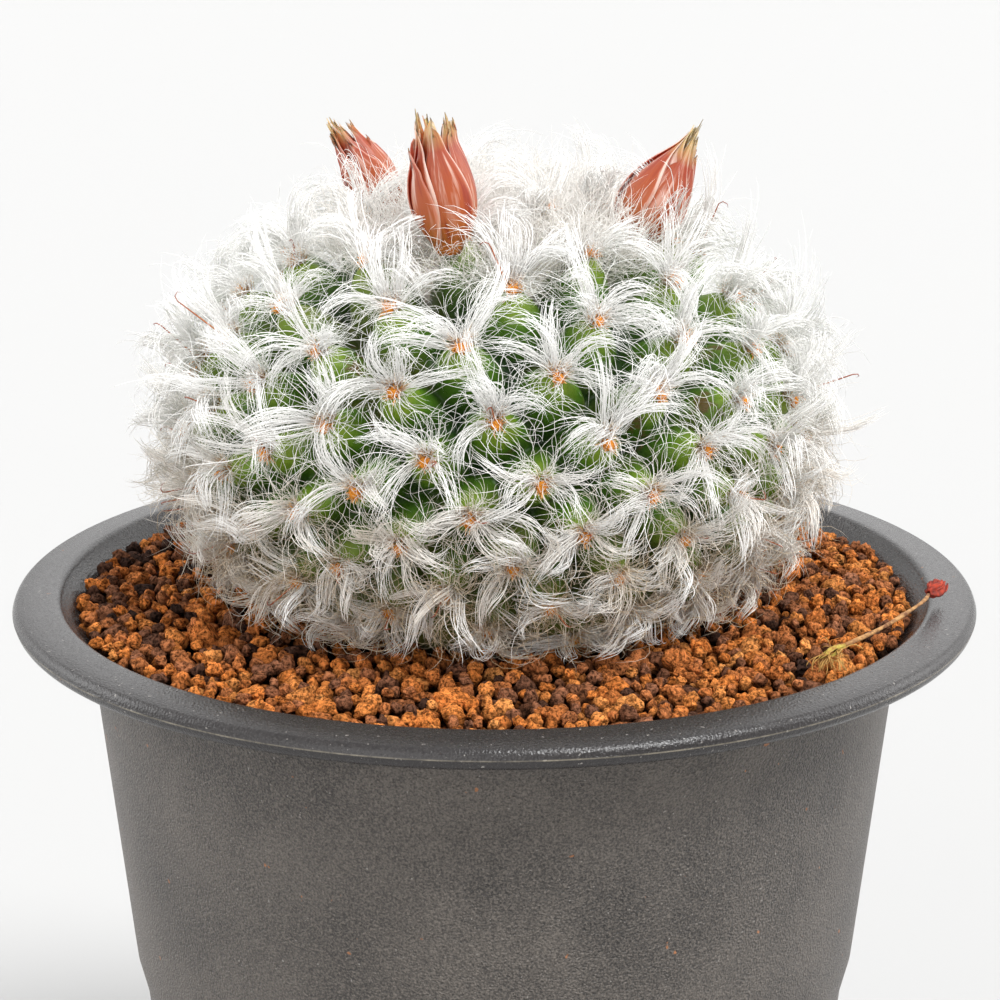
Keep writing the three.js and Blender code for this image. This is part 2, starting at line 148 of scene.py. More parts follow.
def startFinish(name, **sockets):
    material = bpy.data.materials.new(name)
    material.use_nodes = True
    shader = material.node_tree.nodes["Principled BSDF"]
    for socket, value in sockets.items():
        shader.inputs[socket.replace("_", " ")].default_value = value
    return material, material.node_tree, shader


def addNode(tree, kind, inputs=None, **settings):
    node = tree.nodes.new(kind)
    for key, value in settings.items():
        setattr(node, key, value)
    for key, value in (inputs or {}).items():
        if isinstance(value, bpy.types.NodeSocket):
            tree.links.new(value, node.inputs[key])
        else:
            node.inputs[key].default_value = value
    return node


def paint(tree, shader, colour):
    tree.links.new(colour, shader.inputs["Base Color"])


def ownPlace(tree):
    return addNode(tree, "ShaderNodeTexCoord").outputs["Object"]


def joinAxes(tree, x, y, z=0.0):
    return addNode(tree, "ShaderNodeCombineXYZ", {"X": x, "Y": y, "Z": z}).outputs[0]


def reachAndHeight(tree, place):
    # how far a spot is from the upright middle line, and how high
    apart = addNode(tree, "ShaderNodeSeparateXYZ", {"Vector": place}).outputs
    flat = joinAxes(tree, apart["X"], apart["Y"])
    return addNode(tree, "ShaderNodeVectorMath", {0: flat}, operation="LENGTH").outputs["Value"], apart["Z"]


def noiseAt(tree, place, scale, detail=3.0, roughness=0.5):
    settings = {"Vector": place, "Scale": scale, "Detail": detail, "Roughness": roughness}
    return addNode(tree, "ShaderNodeTexNoise", settings).outputs["Fac"]


def cellsAt(tree, place, scale):
    settings = {"Vector": place, "Scale": scale}
    return addNode(tree, "ShaderNodeTexVoronoi", settings, feature="F1").outputs["Distance"]


def rampOf(tree, share, pieceSet, **stops):
    # a ramp of a piece's own colours, such as footColour=0.1
    node = addNode(tree, "ShaderNodeValToRGB", {"Fac": share})
    bands = node.color_ramp.elements
    while len(bands) < len(stops):
        bands.new(0.5)
    for band, (key, place) in zip(bands, stops.items()):
        band.position = place
        band.color = (*pieceSet[key], 1)
    return node.outputs["Color"]


def mixColours(tree, share, first, second, blend="MIX"):
    node = addNode(tree, "ShaderNodeMix", {0: share}, data_type="RGBA", blend_type=blend)
    for socket, value in ((node.inputs[6], first), (node.inputs[7], second)):
        if isinstance(value, bpy.types.NodeSocket):
            tree.links.new(value, socket)
        else:
            socket.default_value = (*value, 1)
    return node.outputs[2]


def rescale(tree, value, fromLow, fromHigh, toLow, toHigh):
    settings = {"Value": value, "From Min": fromLow, "From Max": fromHigh, "To Min": toLow, "To Max": toHigh}
    return addNode(tree, "ShaderNodeMapRange", settings).outputs["Result"]


def calculate(tree, operation, first, second):
    return addNode(tree, "ShaderNodeMath", {0: first, 1: second}, operation=operation).outputs[0]


def multiply(tree, first, second):
    return calculate(tree, "MULTIPLY", first, second)


def greyFrom(tree, value):
    return addNode(tree, "ShaderNodeCombineColor", {"Red": value, "Green": value, "Blue": value}).outputs[0]


def readValue(tree, name):
    return addNode(tree, "ShaderNodeAttribute", attribute_name=name).outputs["Fac"]


def addBump(tree, shader, height, depth, strength=1.0):
    bump = addNode(tree, "ShaderNodeBump", {"Height": height, "Distance": depth, "Strength": strength})
    tree.links.new(bump.outputs["Normal"], shader.inputs["Normal"])


# meshes come as arrays of places and of equal-sided faces

def buildMesh(name, places, faces, values=None, layout=None):
    mesh = bpy.data.meshes.new(name)
    faces = np.asarray(faces, np.int32)
    mesh.vertices.add(len(places))
    mesh.vertices.foreach_set("co", np.asarray(places, np.float32).ravel())
    mesh.loops.add(faces.size)
    mesh.loops.foreach_set("vertex_index", faces.ravel())
    mesh.polygons.add(len(faces))
    mesh.polygons.foreach_set("loop_start", np.arange(0, faces.size, faces.shape[1], dtype=np.int32))
    mesh.polygons.foreach_set("use_smooth", np.full(len(faces), True))
    for key, value in (values or {}).items():
        mesh.attributes.new(key, "FLOAT", "POINT").data.foreach_set("value", value.astype(np.float32).ravel())
    if layout is not None:
        layer = mesh.uv_layers.new(name="OFBake")
        layer.uv.foreach_set("vector", layout.astype(np.float32).ravel())
    mesh.update(calc_edges=True)
    return mesh


def addPiece(name, mesh, material, slotName, *replaced):
    piece = bpy.data.objects.new(name, mesh)
    bpy.context.scene.collection.objects.link(piece)
    mesh.materials.append(material)
    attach(piece, "root")
    if replaced:
        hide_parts(*replaced)
    return piece


def boxMiddle(node):
    return sum(np.array(corner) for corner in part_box(node)) / 2


def unitRows(rows):
    return rows / np.maximum(np.linalg.norm(rows, axis=-1, keepdims=True), 1e-12)


def smoothStep(low, high, value):
    share = np.clip((value - low) / (high - low), 0, 1)
    return share * share * (3 - 2 * share)


def ballTemplate(fineness):
    ball = bmesh.new()
    bmesh.ops.create_icosphere(ball, subdivisions=fineness, radius=1)
    places = np.array([v.co[:] for v in ball.verts])
    faces = np.array([[v.index for v in f.verts] for f in ball.faces])
    ball.free()
    return unitRows(places), faces


def sheetFaces(rows, columns, closed=False):
    # quads of a grid whose points run row by row, closed joins the last column to the first
    i, j = np.meshgrid(np.arange(rows - 1), np.arange(columns if closed else columns - 1), indexing="ij")
    here = i * columns
    right = (j + 1) % columns
    corners = [here + j, here + right, here + columns + right, here + columns + j]
    return np.stack(corners, -1).reshape(-1, 4)


def copyFaces(faces, count, points):
    # the faces of count copies of a mesh that has so many points
    return (faces[None] + (np.arange(count) * points)[:, None, None]).reshape(-1, faces.shape[1])


def thinShell(outer, inner, u, v, margin=0.04):
    # a sheet and its inner side closed round their edge, each side laid out in half of a square
    rows, columns = u.shape
    count = rows * columns
    places = np.concatenate([outer.reshape(-1, 3), inner.reshape(-1, 3)])
    sheet = sheetFaces(rows, columns)
    grid = np.arange(count).reshape(rows, columns)
    edge = np.concatenate([grid[0], grid[1:, -1], grid[-1, -2::-1], grid[-2:0:-1, 0]])
    after = np.roll(edge, -1)
    sides = np.stack([edge, count + edge, count + after, after], -1)
    faces = np.concatenate([sheet, count + sheet[:, ::-1], sides])
    across = margin + (0.5 - 2 * margin) * (u.ravel() + 1) / 2
    flat = np.stack([across, margin + (1 - 2 * margin) * v.ravel()], -1)
    spots = np.concatenate([flat, flat + [0.5, 0]])
    return places, faces, spots[faces.ravel()]


def flatWaves(rng, places, count, pitch):
    # waves of random ways and pitches over the level, added up
    total = np.zeros(len(places))
    for _ in range(count):
        way = rng.normal(size=2)
        along = places[:, :2] @ (way / np.linalg.norm(way))
        total += np.cos(along * rng.uniform(*pitch) + rng.uniform(*anyPhase))
    return total


# pot

potSet = {
    "lipBand": 3.8 * mm,
    "lipEdgeRadius": 1.1 * mm,
    "ridgeRadius": 0.8 * mm,
    "throatBand": 1.8 * mm,
    "throatDrop": 1.6 * mm,
    "throatDepth": 3.5 * mm,
    "wallTop": 38.2 * mm,
    "base": 29.2 * mm,
    "wall": 1.2 * mm,
    "floor": 2.2 * mm,
    "foot": 1.0 * mm,
    "shoulder": 38 * mm,
    "shoulderDepth": 4 * mm,
    "shoulderInset": 0.5 * mm,
    "holes": 6,
    "holeRadius": 1.8 * mm,
    "holeCircle": 18 * mm,
    "seam": 0.05 * mm,
    "fillet": 1.0 * mm,  # where the wall turns out into the lip
    "underside": [(-1.6 * mm, 0.02 * mm), (-0.5 * mm, 0.0)],  # from the lip's edge and its underside
    "upperSide": [(-2.2 * mm, 1.22 * mm), (-2.9 * mm, 1.34 * mm)],  # from the rim's circle
    "throatTop": (0.5 * mm, -0.95 * mm),  # from the throat's circle and the ridge
    "turns": 240,
    "darkColour": (0.043, 0.0370, 0.0330),
    "lightColour": (0.162, 0.1405, 0.1210),
    "pitColour": (0.012, 0.0105, 0.0100),
    "lipShadeColour": (0.017, 0.0155, 0.0172),
    "fleckColour": (0.30, 0.28, 0.26),
    "dustColour": (0.36, 0.14, 0.05),
    "seamHighlightColour": (0.30, 0.265, 0.20),
    "grain": 4800,  # this and the next six are how fine each pattern is
    "pebbles": 4200,
    "cloud": 60,
    "pits": 5200,
    "flecks": 2600,
    "dust": 700,
    "seamBreaks": 340,
    "bumpDepth": 0.00026,
    "specular": 0.50,
    "wallRoughness": 0.42,
    "lipRoughness": 0.24,
    "lipGrain": 0.22,  # the lip's share of the wall's grain
    "lipShare": 0.88,  # of the lip's darker colour over the wall's; the darkening is painted shade
    "pebbleShare": 0.45,
    "fleckRarity": (0.755, 0.725),  # on the wall, on the lip
    "sharpEdge": 40,  # in degrees
}
rimRadius = potHigh.x + 0.04 * mm
ridgeHeight = potHigh.z
ridgeCircle = rimRadius - potSet["lipBand"]
throatCircle = ridgeCircle - potSet["throatBand"]
underLip = rimHeight - potSet["lipEdgeRadius"]
shoulderTop = potSet["shoulder"] + potSet["shoulderDepth"]


def arcPoints(radius, height, size, start, end, steps):
    angles = np.radians(np.linspace(start, end, steps + 1))
    return [(radius + size * math.cos(a), height + size * math.sin(a)) for a in angles]


def wallRadius(height):
    straightBase = potSet["base"] + potSet["shoulderInset"]
    step = 1 - smoothStep(potSet["shoulder"], shoulderTop, height)
    straight = straightBase + (potSet["wallTop"] - straightBase) * height / underLip
    return straight - potSet["shoulderInset"] * step


def potProfile():
    throatBottom = ridgeHeight - potSet["throatDepth"]
    foot = potSet["foot"]
    edge = potSet["lipEdgeRadius"]
    edgeCircle = rimRadius - edge
    seamCircle = rimRadius + potSet["seam"]
    ridge = potSet["ridgeRadius"]
    fillet = potSet["fillet"]
    outside = [(0.0, 0.0), *[(share * (wallRadius(0) - foot), 0.0) for share in (0.25, 0.5, 0.75)]]
    outside += arcPoints(wallRadius(0) - foot, foot, foot, -90, 0, 8)
    outside += [(wallRadius(h), h) for h in np.linspace(foot * 1.5, underLip - 1.4 * mm, 44)]
    outside += arcPoints(wallRadius(underLip) + fillet, underLip - fillet, fillet, 180, 90, 6)
    outside += [(edgeCircle + out, underLip + rise) for out, rise in potSet["underside"]]
    outside += arcPoints(edgeCircle, rimHeight, edge, -80, -7, 7)
    outside += [(seamCircle, rimHeight - 0.04 * mm), (seamCircle, rimHeight + 0.03 * mm)]
    outside += arcPoints(edgeCircle, rimHeight, edge, 7, 62, 7)
    outside += [(rimRadius + out, rimHeight + rise) for out, rise in potSet["upperSide"]]
    outside += arcPoints(ridgeCircle, ridgeHeight - ridge, ridge, 84, 160, 9)
    out, rise = potSet["throatTop"]
    inside = [(throatCircle + out, ridgeHeight + rise), (throatCircle, ridgeHeight - potSet["throatDrop"])]
    heights = [throatBottom, 0.7 * throatBottom, shoulderTop, potSet["shoulder"], potSet["floor"]]
    inside += [(wallRadius(h) - potSet["wall"], h) for h in heights]
    return outside + inside + [(0.0, potSet["floor"])]


def turnProfile(profile, turns):
    # a closed lathe of triangles whose two end points stand on the axis
    rim = np.array(profile[1:-1])
    angles = 2 * math.pi * np.arange(turns) / turns
    ring = np.stack([np.cos(angles), np.sin(angles)], -1)
    heights = np.broadcast_to(rim[:, None, 1:], (len(rim), turns, 1))
    places = np.concatenate([rim[:, None, :1] * ring[None], heights], -1)
    places = np.concatenate([places.reshape(-1, 3), [(0, 0, profile[0][1]), (0, 0, profile[-1][1])]])
    quads = sheetFaces(len(rim), turns, closed=True)
    faces = np.concatenate([quads[:, [0, 1, 2]], quads[:, [0, 2, 3]]])
    j = np.arange(turns)
    last = (len(rim) - 1) * turns
    bottom = np.stack([np.full(turns, len(places) - 2), (j + 1) % turns, j], -1)
    top = np.stack([np.full(turns, len(places) - 1), last + j, last + (j + 1) % turns], -1)
    return places, np.concatenate([faces, bottom, top])


def potFinish():
    material, tree, shader = startFinish("charcoalPlastic", Specular_IOR_Level=potSet["specular"])
    place = ownPlace(tree)
    reach, level = reachAndHeight(tree, place)
    onLip = rescale(tree, level, rimHeight - 1.5 * mm, rimHeight - 1.0 * mm, 0, 1)
    grain = noiseAt(tree, place, potSet["grain"], 2.0, 0.55)
    pebbles = cellsAt(tree, place, potSet["pebbles"])
    cloud = noiseAt(tree, place, potSet["cloud"], 4.0, 0.6)
    mixed = calculate(tree, "ADD", multiply(tree, grain, 0.7), multiply(tree, cloud, 0.3))
    tone = rampOf(tree, mixed, potSet, darkColour=0.38, lightColour=0.64)
    # painted shade: the lip is coloured darker than the wall
    tone = mixColours(tree, multiply(tree, onLip, potSet["lipShare"]), tone, potSet["lipShadeColour"])
    pits = rescale(tree, noiseAt(tree, place, potSet["pits"], 1.0), 0.48, 0.38, 0, 0.85)
    pits = multiply(tree, pits, rescale(tree, cloud, 0.35, 0.6, 1.0, 0.35))
    tone = mixColours(tree, pits, tone, potSet["pitColour"])
    rarity = rescale(tree, onLip, 0, 1, *potSet["fleckRarity"])
    over = calculate(tree, "SUBTRACT", noiseAt(tree, place, potSet["flecks"], 1.0), rarity)
    tone = mixColours(tree, rescale(tree, over, 0.0, 0.03, 0, 0.75), tone, potSet["fleckColour"])
    dust = rescale(tree, noiseAt(tree, place, potSet["dust"], 2.0), 0.735, 0.76, 0, 0.9)
    tone = mixColours(tree, dust, tone, potSet["dustColour"])
    # the seam ridge is real, but its lighter broken line along the lip's outer edge is a painted highlight
    fromSeam = calculate(tree, "ABSOLUTE", calculate(tree, "SUBTRACT", level, rimHeight), 0.0)
    nearSeam = rescale(tree, fromSeam, 0.03 * mm, 0.09 * mm, 1, 0)
    outermost = rescale(tree, reach, rimRadius - 0.10 * mm, rimRadius - 0.02 * mm, 0, 1)
    broken = rescale(tree, noiseAt(tree, place, potSet["seamBreaks"], 4.0, 0.75), 0.34, 0.64, 0.03, 0.65)
    seam = multiply(tree, multiply(tree, nearSeam, outermost), broken)
    paint(tree, shader, mixColours(tree, seam, tone, potSet["seamHighlightColour"]))
    shine = rescale(tree, onLip, 0, 1, potSet["wallRoughness"], potSet["lipRoughness"])
    shine = calculate(tree, "ADD", shine, rescale(tree, grain, 0.3, 0.7, -0.06, 0.06))
    tree.links.new(shine, shader.inputs["Roughness"])
    height = calculate(tree, "ADD", grain, multiply(tree, pebbles, potSet["pebbleShare"]))
    height = multiply(tree, height, rescale(tree, onLip, 0, 1, 1.0, potSet["lipGrain"]))
    addBump(tree, shader, height, potSet["bumpDepth"])
    return material


def drainCutters():
    reach, holes = potSet["holeCircle"], potSet["holes"]
    cutters = []
    for i in range(holes):
        angle = 2 * math.pi * (i + 0.5) / holes
        spot = (reach * math.cos(angle), reach * math.sin(angle), 0)
        bpy.ops.mesh.primitive_cylinder_add(vertices=40, radius=potSet["holeRadius"],
                                            depth=4 * potSet["floor"], location=spot)
        cutters.append(bpy.context.object)
    with bpy.context.temp_override(active_object=cutters[0], selected_editable_objects=cutters):
        bpy.ops.object.join()
    return cutters[0]


def makePot():
    places, faces = turnProfile(potProfile(), potSet["turns"])
    pot = addPiece("moulded_pot", buildMesh("potMesh", places, faces), potFinish(), "pot_plastic", "pot")
    cutters = drainCutters()
    cut = pot.modifiers.new("drainHoles", "BOOLEAN")
    cut.operation = "DIFFERENCE"
    cut.object = cutters
    depsgraph = bpy.context.evaluated_depsgraph_get()
    drilled = bpy.data.meshes.new_from_object(pot.evaluated_get(depsgraph))
    pot.modifiers.clear()
    pot.data = drilled
    bpy.data.objects.remove(cutters)
    softEdges(pot, potSet["sharpEdge"])
    print("pot:", len(pot.data.polygons), "faces")


def softEdges(piece, degrees):
    # shades smooth, with edges sharper than this kept
    mesh = piece.data
    edit = bmesh.new()
    edit.from_mesh(mesh)
    limit = math.radians(degrees)
    for edge in edit.edges:
        edge.smooth = len(edge.link_faces) == 2 and edge.calc_face_angle(0) < limit
    edit.to_mesh(mesh)
    edit.free()


# soil

soilSet = {
    "seed": 11,
    "edgeDrop": 0.9 * mm,
    "rise": 1.0 * mm,
    "depth": 3.4 * mm,
    "smallest": 0.55 * mm,
    "largest": 1.42 * mm,
    "tries": 15000,
    "nudges": 7,
    "smallBias": 1.3,
    "underStem": 2.2 * mm,
    "wallGap": 0.05 * mm,
    "packing": 0.80,  # how far grains press into each other, 1 for not at all
    "proud": 0.55,  # share of a grain's radius that may stand over the bed's line
    "layers": [(0.047, 4)] * 6 + [(0.18, 3), (0.18, 3), (0.36, 2)],  # from the top, each share's fineness
    "lumps": ((1.5, 4.5, 0.080, 5), (5.0, 9.0, 0.066, 7), (10.0, 16.0, 0.038, 8)),  # pitches, swell, waves
    "flats": 8,
    "flatReach": (0.60, 0.96),
    "flatBulge": 0.14,
    "pits": 9,
    "pitDepth": (0.05, 0.22),
    "pitSharpness": (18, 60),
    "stretch": (0.78, 1.22),
    "patches": 6,
    "patchPitch": (150, 420),
    "patchTone": 0.10,
    # painted shade that darkens the granules towards the back and the left
    "backLeftShadeTone": 0.21,
    "darkOnes": 0.03,
    "bedDrop": 2.2 * mm,
    "bedGap": 0.35 * mm,
    "bedRings": 60,
    "bedTurns": 180,
    "bedWaves": 14,
    "bedPitch": (1800, 4200),
    "bedRipple": 0.11 * mm,
    "darkColour": (0.062, 0.034, 0.026),
    "brownColour": (0.300, 0.125, 0.065),
    "orangeColour": (0.74, 0.232, 0.052),
    "paleColour": (0.84, 0.350, 0.105),
    "grit": 3000,
    "blotch": 900,
    "bumpDepth": 0.00055,
}
soilEdge = ridgeHeight - soilSet["edgeDrop"]
soilTop = soilEdge + soilSet["rise"]


def octahedralPlaces(directions):
    # unfolds directions onto a square
    flat = directions / np.abs(directions).sum(-1, keepdims=True)
    x, y = flat[..., 0], flat[..., 1]
    foldedX = (1 - np.abs(y)) * np.where(x >= 0, 1, -1)
    foldedY = (1 - np.abs(x)) * np.where(y >= 0, 1, -1)
    under = directions[..., 2] < 0
    return np.stack([np.where(under, foldedX, x), np.where(under, foldedY, y)], -1) * 0.5 + 0.5


def lumpyGrains(rng, centres, radii, fineness):
    # each grain is a ball with lumps, broken flats, ridges and pits of its own
    ball, faces = ballTemplate(fineness)
    count = len(centres)

    def spread(low, high):
        return rng.uniform(low, high, (count, 1))

    def towards():
        return unitRows(rng.normal(size=(count, 3))) @ ball.T

    shape = np.ones((count, len(ball)))
    for low, high, swell, waves in soilSet["lumps"]:
        for _ in range(waves):
            way = towards()
            pitch = spread(low, high)
            shape += swell * spread(0.5, 1.2) * np.cos(pitch * way + spread(*anyPhase))
    for _ in range(soilSet["flats"]):
        way = towards()
        flat = spread(*soilSet["flatReach"]) / np.maximum(way, 0.05)
        shape = np.where(shape > flat, flat + soilSet["flatBulge"] * (shape - flat), shape)
    for _ in range(soilSet["pits"]):
        way = towards()
        shape -= spread(*soilSet["pitDepth"]) * np.exp((way - 1) * spread(*soilSet["pitSharpness"]))
    stretch = rng.uniform(*soilSet["stretch"], (count, 1, 3))
    turn = np.linalg.qr(rng.normal(size=(count, 3, 3)))[0]
    local = (shape[..., None] * ball[None]) * stretch
    places = centres[:, None] + radii[:, None, None] * np.einsum("gij,gvj->gvi", turn, local)
    return places.reshape(-1, 3), copyFaces(faces, count, len(ball)), ball, faces


def gridLayout(cellPlaces, count, margin=0.06):
    # copies one cell's layout into a square grid of cells
    across = math.ceil(math.sqrt(count))
    index = np.arange(count)
    origin = np.stack([index % across, index // across], -1)[:, None]
    return ((origin + margin + (1 - 2 * margin) * cellPlaces[None]) / across).reshape(-1, 2)


def bedLine(radius, stemFoot):
    share = np.clip((throatCircle - radius) / (throatCircle - stemFoot), 0, 1)
    return soilEdge + (soilTop - soilEdge) * share


def settleGrains(rng, stemFoot):
    # drops grains one by one, each resting on those already there
    inner = stemFoot - soilSet["underStem"]
    outer = throatCircle - soilSet["wallGap"]
    bottom = soilTop - soilSet["depth"]
    cell = 2 * soilSet["largest"]
    buckets = {}
    centres, radii = [], []
    for _ in range(soilSet["tries"]):
        share = rng.random() ** soilSet["smallBias"]
        size = soilSet["smallest"] + (soilSet["largest"] - soilSet["smallest"]) * share
        best = None
        for _ in range(soilSet["nudges"]):
            angle = rng.random() * 2 * math.pi
            reach = math.sqrt(inner**2 + rng.random() * ((outer - size) ** 2 - inner**2))
            x, y = reach * math.cos(angle), reach * math.sin(angle)
            rest = bottom + size
            column, row = int(x // cell), int(y // cell)
            nearby = [(a, b) for a in (column - 1, column, column + 1) for b in (row - 1, row, row + 1)]
            for k in [k for spot in nearby for k in buckets.get(spot, ())]:
                otherX, otherY, otherZ = centres[k]
                touch = (size + radii[k]) ** 2 * soilSet["packing"]
                gap = touch - (x - otherX) ** 2 - (y - otherY) ** 2
                if gap > 0:
                    rest = max(rest, otherZ + math.sqrt(gap))
            if best is None or rest < best[2]:
                best = (x, y, rest, reach)
        x, y, rest, reach = best
        if rest + size * (1 - soilSet["proud"]) > bedLine(reach, stemFoot):
            continue
        buckets.setdefault((int(x // cell), int(y // cell)), []).append(len(centres))
        centres.append((x, y, rest))
        radii.append(size)
    return np.array(centres), np.array(radii)


def soilFinish():
    material, tree, shader = startFinish("bakedClay", Roughness=0.95, Specular_IOR_Level=0.06)
    place = ownPlace(tree)
    base = rampOf(tree, readValue(tree, "grainTone"), soilSet,
                  darkColour=0.04, brownColour=0.28, orangeColour=0.66, paleColour=1.0)
    grit = noiseAt(tree, place, soilSet["grit"], 4.0, 0.65)
    blotch = noiseAt(tree, place, soilSet["blotch"], 3.0, 0.6)
    shade = rescale(tree, blotch, 0.3, 0.7, 0.50, 1.45)
    # partly the clay's own speckle, partly painted shade: the grit that bumps the surface also darkens its
    # low spots, as in crevices
    spots = rescale(tree, grit, 0.38, 0.58, 0.18, 1.2)
    # painted shade: granules darken the deeper they lie under the bed's line, in the gaps between them
    shade = multiply(tree, shade, rescale(tree, readValue(tree, "sunk"), 0, 1, 1.12, 0.12))
    shade = multiply(tree, shade, spots)
    paint(tree, shader, mixColours(tree, 1.0, base, greyFrom(tree, shade), "MULTIPLY"))
    addBump(tree, shader, grit, soilSet["bumpDepth"])
    return material


def grainTones(rng, centres):
    # painted shade: darker towards the back and the left, plus random drifting patches of tone
    patches = flatWaves(rng, centres, soilSet["patches"], soilSet["patchPitch"]) / soilSet["patches"]
    backLeftShade = smoothStep(0.2, 1.0, (-0.75 * centres[:, 0] + 0.45 * centres[:, 1]) / throatCircle)
    tone = rng.beta(2.2, 1.9, len(centres)) + soilSet["patchTone"] * patches - soilSet["backLeftShadeTone"] * backLeftShade
    rare = rng.random(len(centres))
    tone = np.where(rare < soilSet["darkOnes"], rng.uniform(0, 0.12, len(centres)), tone)
    return np.clip(tone, 0, 1)


def makeSoil():
    rng = np.random.default_rng(soilSet["seed"])
    stemFoot = stemAcross(soilTop)
    centres, radii = settleGrains(rng, stemFoot)
    tones = grainTones(rng, centres)
    material = soilFinish()
    bed = bedLine(np.hypot(centres[:, 0], centres[:, 1]), stemFoot)
    order = np.argsort(bed - centres[:, 2] - radii)
    start = 0
    for number, (share, fineness) in enumerate(soilSet["layers"]):
        end = start + int(share * len(order))
        chosen = order[start:end]
        start = end
        places, faces, ball, ballFaces = lumpyGrains(rng, centres[chosen], radii[chosen], fineness)
        # how deep each point lies under the bed's line, which paints shade into the gaps
        sunk = bedLine(np.hypot(places[:, 0], places[:, 1]), stemFoot) - places[:, 2]
        values = {
            "grainTone": np.repeat(tones[chosen], len(ball)),
            "sunk": smoothStep(-0.2 * mm, 1.7 * mm, sunk),
        }
        layout = gridLayout(octahedralPlaces(ball)[ballFaces].reshape(-1, 2), len(chosen))
        mesh = buildMesh(f"grains{number}", places, faces, values=values, layout=layout)
        addPiece(f"clay_granules_{number + 1}", mesh, material, "soil_granules", "soil")
        print("granules of layer", number + 1, ":", len(chosen), "with", len(faces), "faces")
    makeSoilBed(rng, material)


def makeSoilBed(rng, material):
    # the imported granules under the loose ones, down to the pot's floor
    gap = soilSet["bedGap"]
    bottom = potSet["floor"] + gap
    bedTop = soilEdge - soilSet["bedDrop"]
    inner = potSet["wall"] + gap
    rings = [(0.0, bottom)]
    for height in (bottom, potSet["shoulder"], shoulderTop, bedTop - gap):
        rings.append((wallRadius(height) - inner, height))
    outer = wallRadius(bedTop) - inner
    rings += [(outer * (1 - i / soilSet["bedRings"]), bedTop) for i in range(soilSet["bedRings"])]
    rings.append((0.0, bedTop))
    places, faces = turnProfile(rings, soilSet["bedTurns"])
    onTop = places[:, 2] > bedTop - 0.001 * mm
    ripple = flatWaves(rng, places, soilSet["bedWaves"], soilSet["bedPitch"])
    places[:, 2] += np.where(onTop, soilSet["bedRipple"] * ripple, 0)
    # the packed bed under the loose granules gets deep painted shade all over
    values = {"grainTone": np.full(len(places), 0.2), "sunk": np.full(len(places), 0.8)}
    mesh = buildMesh("bedMesh", places, faces, values=values)
    addPiece("packed_granules", mesh, material, "soil_granules", "soil")
    print("packed granules:", len(faces), "faces")


# stem

stemSet = {
    "sunk": 6 * mm,
    "height": 42 * mm,
    "radius": 28.5 * mm,
    "tubercles": 180,
    "depth": 6.4 * mm,  # of the valleys between the tubercles
    "roundReach": 4.7 * mm,
    "cleft": 0.42,  # how much of the depth the valley lines take, the rest is the round fall
    "tipRise": 0.25 * mm,
    "tipReach": 1.3 * mm,
    "growth": (0.3 * mm, 5 * mm),  # over the soil, from where to where tubercles reach their full depth
    "spiralAngle": 137.508,
    "spiralStart": -20,
    "crowding": 0.8,
    "fineness": 7,
    "rows": 13,
    "crownTubercles": 5,
    "valleyColour": (0.008, 0.030, 0.005),
    "sideColour": (0.060, 0.150, 0.008),
    "tipColour": (0.200, 0.300, 0.016),
    "oliveColour": (0.150, 0.160, 0.028),
    "scarColour": (0.115, 0.055, 0.025),
    "footShadeColour": (0.085, 0.066, 0.028),
    "feltColour": (0.72, 0.68, 0.60),
    "bumpDepth": 0.00007,
    "roughness": 0.44,
    "feltReach": (8 * mm, 12 * mm),  # from the middle line, where the crown's felt fades
    "mottle": 420,  # this and the next three are how fine each pattern is
    "oliveClouds": 130,
    "scars": 210,
    "skin": 5200,
}
stemHalf = stemSet["height"] / 2
stemCentre = soilTop - stemSet["sunk"] + stemHalf
stemRadii = np.array([stemSet["radius"], stemSet["radius"], stemHalf])


def stemAcross(height):
    return stemSet["radius"] * math.sqrt(max(0.0, 1 - ((height - stemCentre) / stemHalf) ** 2))


def spiralUnits():
    index = np.arange(stemSet["tubercles"])
    z = 1 - 2 * ((index + 0.5) / stemSet["tubercles"]) ** stemSet["crowding"]
    across = np.sqrt(1 - z * z)
    angle = np.radians(stemSet["spiralStart"] + stemSet["spiralAngle"] * index)
    return np.stack([across * np.cos(angle), across * np.sin(angle), z], -1)


def stemPlaces(units):
    return units * stemRadii + np.array([0, 0, stemCentre])


def stemNormals(units):
    return unitRows(units / stemRadii)


tubercleUnits = spiralUnits()
tubercleTips = stemPlaces(tubercleUnits)


def growthAt(height):
    low, high = stemSet["growth"]
    return smoothStep(soilTop + low, soilTop + high, height)


def makeStem():
    ball, faces = ballTemplate(stemSet["fineness"])
    places = stemPlaces(ball)
    normals = stemNormals(ball)
    nearest = np.empty((len(ball), 2))
    for start in range(0, len(ball), 8000):
        part = slice(start, start + 8000)
        apart = np.linalg.norm(places[part, None] - tubercleTips[None], axis=-1)
        nearest[part] = np.partition(apart, 2, axis=1)[:, :2]
    first, second = nearest.T
    cleft = stemSet["cleft"]
    valley = (2 * first / (first + second)) ** 2.2
    roundness = np.clip(first / stemSet["roundReach"], 0, 1) ** 1.7
    fall = cleft * valley + (1 - cleft) * roundness
    tip = stemSet["tipRise"] * smoothStep(stemSet["tipReach"], 0.0, first)
    growth = growthAt(places[:, 2])
    drop = stemSet["depth"] * fall * growth - tip * growth
    places = places - normals * drop[:, None]
    mesh = buildMesh("stemMesh", places, faces, values={"valley": fall * growth})
    addPiece("green_stem", mesh, stemFinish(), "stem_green", "stem")
    print("stem:", len(faces), "faces")


